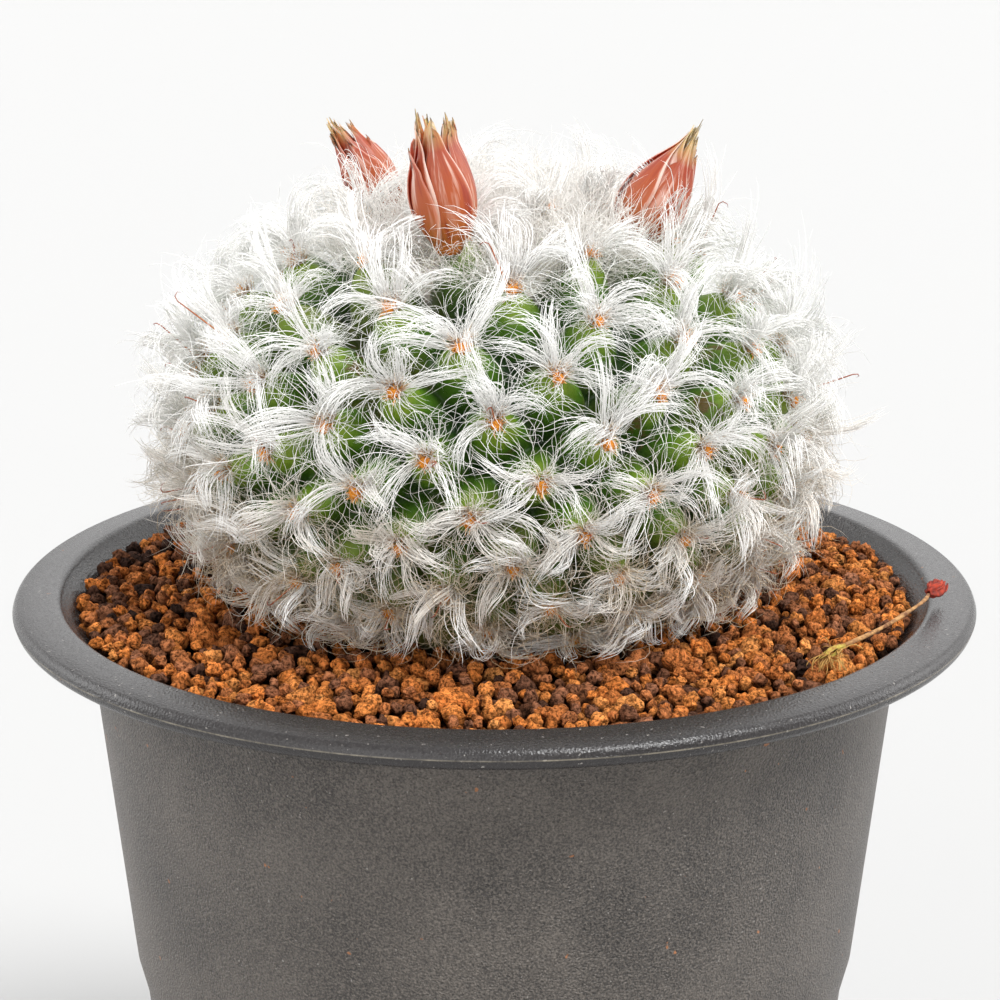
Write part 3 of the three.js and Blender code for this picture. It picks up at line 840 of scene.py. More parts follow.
def stemFinish():
    material, tree, shader = startFinish("waxyGreen", Roughness=stemSet["roughness"], Specular_IOR_Level=0.35,
                                         Subsurface_Weight=0.10, Subsurface_Radius=(0.5, 1.0, 0.1),
                                         Subsurface_Scale=0.0010)
    place = ownPlace(tree)
    reach, level = reachAndHeight(tree, place)
    mottle = noiseAt(tree, place, stemSet["mottle"], 4.0, 0.6)
    deep = calculate(tree, "ADD", readValue(tree, "valley"), rescale(tree, mottle, 0.3, 0.7, -0.10, 0.10))
    # painted shade: the green darkens from the tubercle tips into the valleys between them
    base = rampOf(tree, deep, stemSet, tipColour=0.0, sideColour=0.35, valleyColour=0.9)
    olive = rescale(tree, noiseAt(tree, place, stemSet["oliveClouds"], 2.0), 0.52, 0.70, 0, 0.55)
    base = mixColours(tree, olive, base, stemSet["oliveColour"])
    scars = rescale(tree, noiseAt(tree, place, stemSet["scars"], 5.0, 0.7), 0.60, 0.66, 0, 0.8)
    base = mixColours(tree, scars, base, stemSet["scarColour"])
    # painted shade: the stem turns dark brown near the soil, under the old hair
    uneven = calculate(tree, "ADD", level, rescale(tree, mottle, 0.3, 0.7, -3 * mm, 3 * mm))
    footShade = rescale(tree, uneven, soilTop + 2 * mm, soilTop + 14 * mm, 0.75, 0)
    base = mixColours(tree, footShade, base, stemSet["footShadeColour"])
    crownFelt = rescale(tree, reach, *stemSet["feltReach"], 0.9, 0)
    paint(tree, shader, mixColours(tree, crownFelt, base, stemSet["feltColour"]))
    skin = noiseAt(tree, place, stemSet["skin"], 3.0)
    height = calculate(tree, "ADD", skin, multiply(tree, mottle, 3.0))
    addBump(tree, shader, height, stemSet["bumpDepth"], 0.7)
    return material


# hair and spines are strands, closed three-sided tubes along bent paths

def tubesAlong(paths, radii, sides=3):
    # paths is strands x points x 3, radii is strands x points and the last point is the tip
    count, steps, _ = paths.shape
    ahead = unitRows(np.gradient(paths, axis=1))
    side = np.cross(ahead[:, 0], np.array([0.31, 0.27, 0.91]))
    rings = np.empty((count, steps - 1, sides, 3))
    for k in range(steps - 1):
        side = side - ahead[:, k] * (side * ahead[:, k]).sum(-1, keepdims=True)
        side = unitRows(side)
        other = np.cross(ahead[:, k], side)
        for j in range(sides):
            angle = 2 * math.pi * j / sides
            out = math.cos(angle) * side + math.sin(angle) * other
            rings[:, k, j] = paths[:, k] + radii[:, k, None] * out
    perStrand = (steps - 1) * sides + 1
    places = np.concatenate([rings.reshape(count, -1, 3), paths[:, -1:]], axis=1)
    quads = sheetFaces(steps - 1, sides, closed=True)
    one = np.concatenate([quads[:, [0, 1, 2]], quads[:, [0, 2, 3]]])
    j = np.arange(sides)
    last = (steps - 2) * sides
    tip = np.stack([last + j, last + (j + 1) % sides, np.full(sides, perStrand - 1)], -1)
    root = np.stack([np.zeros(sides - 2, int), np.arange(2, sides), np.arange(1, sides - 1)], -1)
    one = np.concatenate([one, tip, root])
    along = np.concatenate([np.repeat(np.arange(steps - 1) / (steps - 1), sides), [1.0]])
    layout = strandLayout(one, along, sides, count)
    return places.reshape(-1, 3), copyFaces(one, count, perStrand), np.tile(along, count), layout


def strandLayout(one, along, sides, count):
    # every strand gets a strip of its own, laid in eight columns
    columns = 8
    rows = math.ceil(count / columns)
    around = np.concatenate([np.tile(np.arange(sides) / sides, (len(along) - 1) // sides), [0.5]])
    cell = np.stack([along[one], around[one]], -1)
    wrap = (cell[..., 1].max(1, keepdims=True) - cell[..., 1]) > 0.6
    cell[..., 1] = np.where(wrap, cell[..., 1] + 1, cell[..., 1])
    cell = cell.reshape(-1, 2)
    index = np.arange(count)
    origin = np.stack([index % columns, index // columns], -1)[:, None]
    layout = (origin + 0.04 + 0.92 * cell[None] * np.array([1, 0.98])) / np.array([columns, rows])
    return layout.reshape(-1, 2)


def bendStrands(roots, starts, lengths, pull, steps, curl, rng, wave=0.0):
    # grows each strand step by step, turning towards its pull and wandering by its curl
    count = len(roots)
    paths = np.empty((count, steps, 3))
    paths[:, 0] = roots
    way = unitRows(starts)
    spin = rng.uniform(*anyPhase, (count, 1))
    pace = rng.uniform(0.5, 1.3, (count, 1))
    first = unitRows(np.cross(way, rng.normal(size=(count, 3))))
    second = np.cross(way, first)
    for k in range(1, steps):
        share = k / (steps - 1)
        turning = 0.25 + 0.7 * share + 1.5 * share ** 3  # tips turn the most
        wander = first * np.cos(spin + pace * k) + second * np.sin(spin + pace * k)
        way = unitRows(way + pull * turning / (steps - 1) + wander * curl / (steps - 1))
        paths[:, k] = paths[:, k - 1] + way * (lengths / (steps - 1))[:, None]
    share = np.linspace(0, 1, steps)[None, :, None]
    turns = spin[:, None] + pace[:, None] * 6 * share
    sway = share * wave * rng.uniform(0.4, 1.0, (count, 1, 1))
    swayFirst = (np.cos(turns) - np.cos(spin[:, None])) * first[:, None]
    swaySecond = (np.sin(turns) - np.sin(spin[:, None])) * second[:, None]
    return paths + sway * (swayFirst + swaySecond)


def keepOutside(paths, depth, floorHeight):
    # keeps hair off the stem's skin and the granules: a hair is squeezed whole, then smoothed
    root = paths[:, :1, 2]
    height = paths[..., 2]
    fall = root - height.min(axis=1, keepdims=True)
    squeeze = np.clip((root - floorHeight) / np.maximum(fall, 1e-9), 0, 1)
    level = np.where(height < root, root - (root - height) * squeeze, height)
    local = (np.dstack([paths[..., :2], level]) - np.array([0, 0, stemCentre])) / stemRadii
    least = 1 - depth / stemSet["radius"]
    reach = np.linalg.norm(local, axis=-1)
    across = np.hypot(local[..., 0], local[..., 1])
    skin = np.sqrt(np.clip(least**2 - local[..., 2] ** 2, 0, None))
    upper = local[..., 2] > 0
    outward = np.where(upper, least / np.maximum(reach, 1e-9), skin / np.maximum(across, 1e-9))
    grow = np.maximum(1, outward)
    paths = stemPlaces(local * np.dstack([grow, grow, np.where(upper, grow, 1)]))
    paths[:, 1:-1] = 0.25 * paths[:, :-2] + 0.5 * paths[:, 1:-1] + 0.25 * paths[:, 2:]
    return paths


hairSet = {
    "seed": 29,
    "steps": 10,
    "thick": 0.038 * mm,
    "rootSpread": 0.16 * mm,
    "rootRing": 0.46 * mm,
    "wave": 1.3 * mm,
    "wisps": (5, 7),
    "hairsPerWisp": (19, 26),
    "wispLength": (7.2 * mm, 10.6 * mm),
    "wispWidth": 1.0 * mm,
    "wispAngle": (12, 128),  # from straight up, to either side
    "oldAngle": 52,  # how much further round the oldest tufts reach
    "wispRise": (26, 56),  # off the skin
    "swirl": (0.2, 1.7),
    "springs": 0.55 * mm,  # how far above the tubercle's tip the white hair starts
    "puff": {"hairs": 78, "length": (2.0 * mm, 4.8 * mm), "rise": (16, 80), "thick": 0.66},
    "loose": {"hairs": 50, "length": (4.0 * mm, 9.0 * mm), "rise": (4, 46), "thick": 0.62},
    "fuzz": {"hairs": 34, "length": (0.5 * mm, 1.0 * mm), "rise": 0.2 * mm, "thick": 1.7},
    "clear": 1.2 * mm,  # tubercles whose tip isn't this far over the soil have no hair
    "skinDepth": 2.4 * mm,  # how far into the valleys hair may lie
    "overSoil": 0.4 * mm,
    "gravity": 1.5,
    "lie": 1.0,
    "crownWool": 2300,
    "crownRadius": 15.5 * mm,
    "crownLength": (5.0 * mm, 8.6 * mm),
    "crownCream": 0.20,  # how far the wool's white goes towards the old hair's aged and shaded tone
    "downHairs": 3600,
    "downLength": (2.6 * mm, 5.2 * mm),
    "padSize": 0.52 * mm,
    "padRise": 0.45 * mm,
    "padGrain": 5000,
    "streaks": 600,
    "bareSide": -112,  # the wool leaves the front bud's near side free
    "bareReach": 14.0 * mm,
    "bareSize": 4.2 * mm,
    "rootColour": (0.80, 0.33, 0.035),
    "lowColour": (0.92, 0.66, 0.38),
    "silkColour": (0.95, 0.943, 0.925),
    "oldAndShadedColour": (0.50, 0.355, 0.185),
    "padColour": (0.86, 0.34, 0.030),
    "padDarkColour": (0.55, 0.16, 0.014),
}


def tuftFrame(index):
    unit = tubercleUnits[index]
    normal = stemNormals(unit[None])[0]
    up = np.array([0, 0, 1.0]) - normal * normal[2]
    if np.linalg.norm(up) < 0.12:
        up = np.array([unit[0], unit[1], 0]) + 1e-6
    up = up / np.linalg.norm(up)
    right = np.cross(up, normal)
    return tubercleTips[index], normal, up, right


def wispHair(tip, start, flat, pull, length, count, old, wave, rng):
    # hairs that fan out from the tubercle and close up again to one curved point
    steps = hairSet["steps"]
    root = tip + flat * hairSet["rootRing"]
    curl = 0.3 + 1.3 * old
    guide = bendStrands(root[None], start[None], np.array([length]), pull, steps, curl, rng, wave)[0]
    share = np.linspace(0, 1, steps)[None] * rng.uniform(0.74, 1.0, (count, 1))
    along = share * (steps - 1)
    low = np.minimum(along.astype(int), steps - 2)
    part = (along - low)[..., None]
    middle = guide[low] * (1 - part) + guide[low + 1] * part
    width = hairSet["wispWidth"] * np.sin(np.pi * share ** 0.72) ** 0.8
    stray = rng.normal(size=(count, 1, 3))
    farStray = rng.random((count, 1, 1)) < 0.24 - 0.12 * old
    stray = stray * np.where(farStray, 0.17, 0.045 - 0.02 * old)
    roots = rng.normal(size=(count, 1, 3)) * hairSet["rootSpread"]
    spread = rng.normal(size=(count, 1, 3)) * 0.42 * width[..., None]
    paths = middle + spread + roots * (1 - share[..., None]) ** 4
    return paths + stray * length * share[..., None] ** 2


def fanHair(tip, normal, ways, pull, lengths, curl, wave, rng):
    flat = unitRows(ways - normal * (ways @ normal)[:, None])
    ring = flat * hairSet["rootRing"] * rng.uniform(0.5, 1.1, (len(ways), 1))
    roots = tip + ring + rng.normal(size=ways.shape) * hairSet["rootSpread"] * 0.4
    return bendStrands(roots, ways, lengths, pull, hairSet["steps"], curl, rng, wave)


def tuftHair(index, rng):
    # one tubercle's hair: wisps to the sides, a puff in the middle, loose hairs and orange fuzz at the foot
    tip, normal, up, right = tuftFrame(index)
    height = (tip[2] - soilTop) / (stemCentre + stemHalf - soilTop)  # 0 at the soil, 1 at the crown
    young = smoothStep(0.25, 0.9, height)
    old = 1 - smoothStep(0.12, 0.60, height)
    springs = tip + up * hairSet["springs"] * (1 - 0.6 * old)
    droop = hairSet["gravity"] * (1 - 0.75 * old)
    paths, thick, ages = [], [], []
    wisps = int(rng.integers(*hairSet["wisps"]) + 2 * old)
    for w in range(wisps):
        side = 1 if w % 2 else -1
        degrees = rng.uniform(*hairSet["wispAngle"]) + hairSet["oldAngle"] * old * rng.random()
        angle = side * math.radians(degrees)
        upward = 0.5 + 0.5 * math.cos(angle)
        hairs = int(rng.integers(*hairSet["hairsPerWisp"]) * (0.8 + 0.35 * upward - 0.22 * old))
        length = rng.uniform(*hairSet["wispLength"]) * (0.80 + 0.16 * upward + 0.10 * young - 0.20 * old)
        rise = math.radians(rng.uniform(*hairSet["wispRise"]) + 10 * upward + 12 * young)
        flat = math.cos(angle) * up + math.sin(angle) * right
        start = math.cos(rise) * flat + math.sin(rise) * normal
        swirl = np.cross(normal, flat) * rng.choice([-1, 1]) * rng.uniform(*hairSet["swirl"])
        swirl = swirl * (1 + 1.1 * old) + normal * old * rng.uniform(0, 1.2)
        sink = np.array([0, 0, -droop * rng.uniform(0.5, 1.1)])
        pull = sink - normal * hairSet["lie"] * rng.uniform(0.7, 1.4) + swirl
        wave = hairSet["wave"] * (0.4 + 1.3 * old) * rng.random()
        paths.append(wispHair(springs, start, flat, pull, length, hairs, old, wave, rng))
        thick.append(rng.uniform(0.8, 1.2, hairs))
        ages.append(np.full(hairs, rng.uniform(0.0, 0.7)))
    amounts = {"puff": (0.55 + 0.75 * young, 3.0), "loose": (0.8 + 0.6 * old, 2.6 + 1.6 * old)}
    for kind, (amount, curl) in amounts.items():
        part = hairSet[kind]
        count = int(part["hairs"] * amount)
        angles = rng.uniform(0, 2 * math.pi, (count, 1))
        rises = np.radians(rng.uniform(*part["rise"], (count, 1)))
        ways = np.cos(rises) * (np.cos(angles) * up + np.sin(angles) * right) + np.sin(rises) * normal
        sink = np.array([0, 0, -droop * 0.4])
        pull = sink - normal * hairSet["lie"] * 0.6 + rng.normal(size=(count, 3)) * 0.5
        ways = unitRows(ways + up * rng.uniform(0, 0.5, (count, 1)))
        lengths = rng.uniform(*part["length"], count)
        wave = hairSet["wave"] * (0.5 + 0.5 * old)
        paths.append(fanHair(springs, normal, ways, pull, lengths, curl, wave, rng))
        thick.append(np.full(count, part["thick"]))
        # puff and loose hairs take more of the old hair's colour than the wisps, which paints shade into the
        # tangle under them
        ages.append(rng.uniform(0.75, 1.25, count))
    white = sum(len(part) for part in paths)
    fuzz = hairSet["fuzz"]
    count = fuzz["hairs"]
    ways = normal * rng.uniform(0.5, 1.6, (count, 1)) + rng.normal(size=(count, 3)) * 0.5
    lengths = rng.uniform(*fuzz["length"], count)
    paths.append(fanHair(tip + normal * fuzz["rise"], normal, ways, -normal * 0.3, lengths, 1.5, 0.0, rng))
    thick.append(np.full(count, fuzz["thick"]))
    ages.append(np.zeros(count))
    reach = np.concatenate([np.ones(white), np.full(count, 0.05)])
    paths = keepOutside(np.concatenate(paths), hairSet["skinDepth"], soilTop + hairSet["overSoil"])
    thick = np.concatenate(thick) * hairSet["thick"]
    return paths, thick, old * np.concatenate(ages), reach, np.zeros(len(paths))


def hairPiece(name, tufts, material, node):
    # each hair's share of the root-to-tip colours begins at its start and runs over its reach
    paths, thick, ages, reach, start = [np.concatenate(part) for part in zip(*tufts)]
    share = np.linspace(0, 1, paths.shape[1])
    taper = np.interp(share, [0, 0.1, 0.7, 1], [0.9, 1.0, 0.95, 0.3])
    places, faces, along, layout = tubesAlong(paths, thick[:, None] * taper[None])
    perStrand = len(places) // len(paths)
    along = np.repeat(start, perStrand) + along * np.repeat(reach, perStrand)
    values = {"along": along, "ageAndShade": np.repeat(ages, perStrand)}
    mesh = buildMesh(name + "Mesh", places, faces, values=values, layout=layout)
    addPiece(name, mesh, material, "silky_hair", node)
    print(name, ":", len(paths), "hairs with", len(faces), "faces")


def hairFinish():
    material, tree, shader = startFinish("silkyHair", Roughness=0.5, Specular_IOR_Level=0.35,
                                         Sheen_Weight=0.25)
    base = rampOf(tree, readValue(tree, "along"), hairSet, rootColour=0.02, lowColour=0.07, silkColour=0.15)
    streak = noiseAt(tree, ownPlace(tree), hairSet["streaks"], 2.0)
    # the old hair's colour is partly real ageing to cream and partly painted shade, browning the loose tangle
    # low on the stem
    ageAndShade = multiply(tree, readValue(tree, "ageAndShade"), rescale(tree, streak, 0.3, 0.7, 0.6, 1.0))
    paint(tree, shader, mixColours(tree, ageAndShade, base, hairSet["oldAndShadedColour"]))
    return material


def makeHair():
    rng = np.random.default_rng(hairSet["seed"])
    material = hairFinish()
    rows = [[] for _ in range(stemSet["rows"])]
    crown = []
    for index in range(stemSet["tubercles"]):
        if tubercleTips[index][2] < soilTop + hairSet["clear"]:
            break
        hair = tuftHair(index, rng)
        if index < stemSet["crownTubercles"]:
            crown.append(hair)
        else:
            rows[(index - stemSet["crownTubercles"]) % stemSet["rows"]].append(hair)
    crown.append(crownWool(rng, hairSet["crownWool"], hairSet["crownLength"], 0.38, hairSet["bareSize"]))
    for row, tufts in enumerate(rows, 1):
        hairPiece(f"silky_hair_{row}", tufts, material, f"hair_row_{row}")
    hairPiece("silky_crown", crown, material, "crown_wool")
    down = crownWool(rng, hairSet["downHairs"], hairSet["downLength"], 0.9, 0)
    hairPiece("crown_down", [down], material, "crown_wool")
    makePads(rng)


def makePads(rng):
    # the felt pad each tuft grows from
    tips = tubercleTips[tubercleTips[:, 2] > soilTop + hairSet["clear"]]
    count = len(tips)
    normals = stemNormals(tubercleUnits[:count])
    ball, faces = ballTemplate(3)
    lumps = 1 + 0.16 * np.cos(9 * ball @ rng.normal(size=(3, count)) + rng.uniform(0, 6, count)).T
    flatten = 1 - 0.25 * (ball @ normals.T).T ** 2
    middles = tips + normals * hairSet["padRise"]
    places = middles[:, None] + ball[None] * (lumps * flatten * hairSet["padSize"])[..., None]
    layout = gridLayout(octahedralPlaces(ball)[faces].reshape(-1, 2), count)
    mesh = buildMesh("padMesh", places.reshape(-1, 3), copyFaces(faces, count, len(ball)), layout=layout)
    material, tree, shader = startFinish("orangeFelt", Roughness=0.9)
    grain = noiseAt(tree, ownPlace(tree), hairSet["padGrain"], 3.0)
    paint(tree, shader, rampOf(tree, grain, hairSet, padDarkColour=0.35, padColour=0.6))
    addBump(tree, shader, grain, 0.2 * mm)
    addPiece("felt_pads", mesh, material, "silky_hair")
    print("felt pads:", count)


def crownWool(rng, count, span, scatter, bareSize):
    # curly wool over the growing point
    reach = hairSet["crownRadius"] * np.sqrt(rng.random(count)) / stemSet["radius"]
    angle = rng.uniform(0, 2 * math.pi, count)
    bare = math.radians(hairSet["bareSide"])
    bareX, bareY = np.array([math.cos(bare), math.sin(bare)]) * hairSet["bareReach"] / stemSet["radius"]
    x, y = reach * np.cos(angle), reach * np.sin(angle)
    kept = np.hypot(x - bareX, y - bareY) >= bareSize / stemSet["radius"]
    units = np.stack([x, y, np.sqrt(1 - reach**2)], -1)[kept]
    count = len(units)
    normals = stemNormals(units)
    roots = stemPlaces(units) - normals * rng.uniform(0.5, 2.5, (count, 1)) * mm
    ways = normals + rng.normal(size=(count, 3)) * scatter
    lengths = rng.uniform(*span, count)
    paths = bendStrands(roots, ways, lengths, rng.normal(size=(count, 3)) * 0.8, hairSet["steps"], 2.0, rng)
    thick, reach, start = 0.7 * hairSet["thick"], 0.7, 0.3
    return paths, *[np.full(count, value) for value in (thick, hairSet["crownCream"], reach, start)]


# hooked spines

spineSet = {
    "seed": 5,
    "steps": 16,
    "thick": 0.095 * mm,
    "length": (5.6 * mm, 8.0 * mm),
    "hookRadius": 0.50 * mm,
    "rootDepth": 0.3 * mm,
    "upLean": (0.05, 0.55),
    "sideLean": 0.35,
    "shorterShare": 0.30,  # of the tubercles that also carry a shorter spine
    "shorter": (0.45, 0.75),  # such a spine's share of a full one
    "clear": 3 * mm,  # tubercles whose tip isn't this far over the soil have none
    "grain": 4000,
    "footColour": (0.62, 0.30, 0.09),
    "middleColour": (0.44, 0.13, 0.035),
    "endColour": (0.24, 0.045, 0.02),
}


def hookPath(root, way, side, length, size):
    straight = length - math.pi * size
    points = []
    for share in np.linspace(0, 1, spineSet["steps"]):
        gone = share * length
        if gone < straight:
            points.append(root + way * gone)
        else:
            turn = (gone - straight) / size
            ahead = way * (straight + size * math.sin(turn))
            points.append(root + ahead + side * size * (1 - math.cos(turn)))
    return np.array(points)


def spineFinish():
    material, tree, shader = startFinish("hornySpine", Roughness=0.35)
    along = readValue(tree, "along")
    paint(tree, shader, rampOf(tree, along, spineSet, footColour=0.0, middleColour=0.4, endColour=1.0))
    addBump(tree, shader, noiseAt(tree, ownPlace(tree), spineSet["grain"], 2.0), 0.03 * mm)
    return material


def spinePiece(name, paths, material, *nodes):
    share = np.linspace(0, 1, paths.shape[1])
    taper = np.interp(share, [0, 0.5, 0.9, 1], [1.0, 0.8, 0.5, 0.1])
    thick = np.full((len(paths), 1), spineSet["thick"]) * taper[None]
    places, faces, along, layout = tubesAlong(paths, thick, sides=6)
    mesh = buildMesh(name + "Mesh", places, faces, values={"along": along}, layout=layout)
    addPiece(name, mesh, material, "hooked_spine", *nodes)


def hookedSpine(index, rng):
    tip, normal, up, right = tuftFrame(index)
    lean = up * rng.uniform(*spineSet["upLean"]) + right * rng.normal() * spineSet["sideLean"] + normal
    way = lean / np.linalg.norm(lean)
    side = np.cross(way, rng.normal(size=3))
    side = side / np.linalg.norm(side)
    root = tip - normal * spineSet["rootDepth"]
    return hookPath(root, way, side, rng.uniform(*spineSet["length"]), spineSet["hookRadius"])


def nearestTubercle(node):
    return int(np.argmin(np.linalg.norm(tubercleTips - boxMiddle(node), axis=1)))


def makeSpines():
    rng = np.random.default_rng(spineSet["seed"])
    material = spineFinish()
    hooks = sorted(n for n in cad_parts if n.startswith("hooked_spine_"))
    taken = set()
    for node in hooks:
        index = nearestTubercle(node)
        taken.add(index)
        spinePiece(f"hook_{node.split('_')[-1]}", hookedSpine(index, rng)[None], material, node)
    short = []
    for index in range(2, stemSet["tubercles"]):
        if tubercleTips[index][2] < soilTop + spineSet["clear"]:
            break
        if index in taken or rng.random() > spineSet["shorterShare"]:
            continue
        path = hookedSpine(index, rng)
        short.append(path[0] + (path - path[0]) * rng.uniform(*spineSet["shorter"]))
    spinePiece("shorter_hooks", np.array(short), material)
    print("spines:", len(hooks) + len(short))


# flower buds

budSet = {
    "seed": 17,
    "heartPetals": 6,
    "thick": 0.16 * mm,
    "across": 15,
    "along": 36,
    "footColour": (0.50, 0.155, 0.014),
    "bodyColour": (0.39, 0.078, 0.014),
    "upperColour": (0.33, 0.054, 0.020),
    "tipColour": (0.62, 0.47, 0.19),
    "edgeColour": (0.80, 0.55, 0.47),
    "darkColour": (0.24, 0.018, 0.008),
    "streaks": 1.6,
    "fullWidth": 6.2,  # the bud width that the inner petals' insets are meant for
    "outlines": {  # the bud's half width along its length, each as a share
        "urn": [(0, 0.20), (0.04, 0.44), (0.10, 0.66), (0.22, 0.90), (0.36, 1.0),
                (0.50, 0.97), (0.64, 0.82), (0.78, 0.60), (0.90, 0.46), (1.05, 0.42)],
        "cone": [(0, 0.56), (0.12, 0.84), (0.26, 1.0), (0.42, 0.97), (0.58, 0.80),
                 (0.74, 0.54), (0.88, 0.28), (1.05, 0.06)],
    },
    "buds": {  # angles in degrees, sizes in millimetres
        "front_bud": {"azimuth": -115, "fromAxis": 11.0, "lean": 9, "leanTo": 190, "length": 12.6,
                      "width": 5.8, "outline": "urn", "flare": 0.5, "top": 0.97, "blunt": 9, "nudge": 0.8},
        "right_bud": {"azimuth": 2, "fromAxis": 14.2, "lean": 30, "leanTo": 0, "length": 11.0,
                      "width": 6.2, "outline": "cone", "flare": 0.0, "top": 1.03, "blunt": 4, "nudge": -1.3},
        "left_bud": {"azimuth": 148, "fromAxis": 11.4, "lean": 31, "leanTo": 175, "length": 10.4,
                     "width": 4.6, "outline": "urn", "flare": 0.1, "top": 0.97, "blunt": 7, "nudge": 0},
    },
}


def budFrame(shape):
    azimuth, lean, leanTo = [math.radians(shape[key]) for key in ("azimuth", "lean", "leanTo")]
    across = shape["fromAxis"] * mm / stemSet["radius"]
    unit = np.array([across * math.cos(azimuth), across * math.sin(azimuth), math.sqrt(1 - across**2)])
    axis = np.array([math.sin(lean) * math.cos(leanTo), math.sin(lean) * math.sin(leanTo), math.cos(lean)])
    foot = stemPlaces(unit[None])[0] - axis * 0.6 * mm + np.array([shape["nudge"] * mm, 0, 0])
    right = np.cross(axis, [0, 1, 0])
    right = right / np.linalg.norm(right)
    return foot, right, np.cross(axis, right), axis


def budOutline(shape, share):
    places, widths = np.array(budSet["outlines"][shape["outline"]]).T
    fine = np.linspace(0, places[-1], 60)
    padded = np.pad(np.interp(fine, places, widths), 4, mode="edge")
    soft = np.convolve(padded, np.ones(9) / 9, mode="valid")
    return shape["width"] / 2 * mm * np.interp(share, fine, soft)


def petalShell(shape, turn, reach, inset, spread, flare, rng):
    # one pointed petal lying on the bud's outline
    rows, columns = budSet["along"], budSet["across"]
    v, u = np.meshgrid(np.linspace(0, 1, rows), np.linspace(-1, 1, columns), indexing="ij")
    share = reach * v
    belly = 0.62 + 0.38 * np.sin(np.pi * np.clip(v * 1.25, 0, 1))
    width = spread * belly * (1 - v ** shape["blunt"]) ** 0.8 + 0.02
    angle = turn + width * u + 0.10 * np.sin(2.2 * v + turn)
    ridge = 0.10 * mm * (1 - np.abs(u)) ** 2 * np.sin(np.pi * v)
    veins = 0.022 * mm * np.cos(9 * u * math.pi) * np.sin(np.pi * v)
    wave = 0.10 * mm * np.sin(5 * v + rng.uniform(0, 6)) * np.abs(u) ** 2
    outward = flare * smoothStep(0.78, 1.0, v) ** 1.5
    radius = budOutline(shape, share) - inset + 0.20 * mm * u + ridge + veins + wave + outward
    fray = 0.45 * mm * rng.normal(size=columns)[None] * smoothStep(0.90, 1.0, v)
    height = share * shape["length"] * mm + fray
    outer = np.stack([radius * np.cos(angle), radius * np.sin(angle), height], -1)
    hollow = np.maximum(radius - budSet["thick"] * (1 - 0.5 * v), 0.03 * mm)
    inner = np.stack([hollow * np.cos(angle), hollow * np.sin(angle), height], -1)
    places, faces, layout = thinShell(outer, inner, u, v)
    values = {"along": np.tile(share.ravel(), 2), "across": np.tile(u.ravel(), 2)}
    values["shade"] = np.full(len(places), rng.random())
    return places, faces, values, layout


def joinParts(parts):
    # puts meshes into one, each with its own cell of the layout
    places, faces, values, layouts, start = [], [], {}, [], 0
    across = math.ceil(math.sqrt(len(parts)))
    for number, (partPlaces, partFaces, partValues, partLayout) in enumerate(parts):
        places.append(partPlaces)
        faces.append(partFaces + start)
        start += len(partPlaces)
        layouts.append((partLayout + [number % across, number // across]) / across)
        for key, value in partValues.items():
            values.setdefault(key, []).append(value)
    values = {key: np.concatenate(shares) for key, shares in values.items()}
    return np.concatenate(places), np.concatenate(faces), values, np.concatenate(layouts)


def petalFinish():
    material, tree, shader = startFinish("salmonPetal", Roughness=0.42, Subsurface_Weight=0.3,
                                         Subsurface_Radius=(1.0, 0.35, 0.25), Subsurface_Scale=0.0008)
    along, across = readValue(tree, "along"), readValue(tree, "across")
    base = rampOf(tree, along, budSet, footColour=0.02, bodyColour=0.35, upperColour=0.75, tipColour=0.98)
    apart = multiply(tree, readValue(tree, "shade"), 40.0)
    lines = joinAxes(tree, multiply(tree, across, 1.5), multiply(tree, along, 0.9), apart)
    streak = noiseAt(tree, lines, budSet["streaks"], 4.0, 0.6)
    paler = rescale(tree, streak, 0.54, 0.66, 0, 0.80)
    paler = multiply(tree, paler, rescale(tree, along, 0.20, 0.6, 0.05, 1.0))
    base = mixColours(tree, paler, base, budSet["edgeColour"])
    base = mixColours(tree, rescale(tree, streak, 0.47, 0.34, 0, 0.75), base, budSet["darkColour"])
    margin = rescale(tree, calculate(tree, "ABSOLUTE", across, 0.0), 0.86, 1.0, 0, 0.7)
    margin = multiply(tree, margin, rescale(tree, streak, 0.42, 0.60, 0, 1))
    paint(tree, shader, mixColours(tree, margin, base, budSet["edgeColour"]))
    addBump(tree, shader, streak, 0.12 * mm, 0.6)
    return material


def placeInBud(shape, places):
    foot, right, front, axis = budFrame(shape)
    return foot + places[:, :1] * right + places[:, 1:2] * front + places[:, 2:] * axis


def makeBuds():
    rng = np.random.default_rng(budSet["seed"])
    material = petalFinish()
    for name, shape in budSet["buds"].items():
        wide = shape["width"] / budSet["fullWidth"]
        flare = shape["flare"] * mm
        outer = sorted(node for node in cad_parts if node.startswith(name + "_petal_"))
        for i, node in enumerate(outer):
            turn = 2 * math.pi * i / len(outer) + 0.4
            reach = shape["top"] - 0.30 * rng.random() ** 1.3
            petal = petalShell(shape, turn, reach, 0.0, 0.86, flare, rng)
            addBudPiece(f"{name}_tepal_{i + 1}", shape, petal, material, "bud_petal", node)
        inner = []
        for i in range(budSet["heartPetals"]):
            turn = 2 * math.pi * (i + 0.5) / budSet["heartPetals"]
            inset = (0.22 * mm + 0.10 * mm * (i % 2)) * wide
            reach = shape["top"] - 0.15 * rng.random()
            inner.append(petalShell(shape, turn, reach, inset, 0.78, flare * 0.6, rng))
        core = {**shape, "outline": "cone", "width": shape["width"] * 0.80}
        inner.append(petalShell(core, 0.0, shape["top"], 0.0, 3.3, 0.0, rng))
        addBudPiece(f"{name}_inner_petals", shape, joinParts(inner), material, "bud_heart", name + "_heart")
    print("buds:", len(budSet["buds"]))


def addBudPiece(name, shape, part, material, slotName, node):
    places, faces, values, layout = part
    mesh = buildMesh(name + "Mesh", placeInBud(shape, places), faces, values=values, layout=layout)
    addPiece(name, mesh, material, slotName, node)


# dried flower

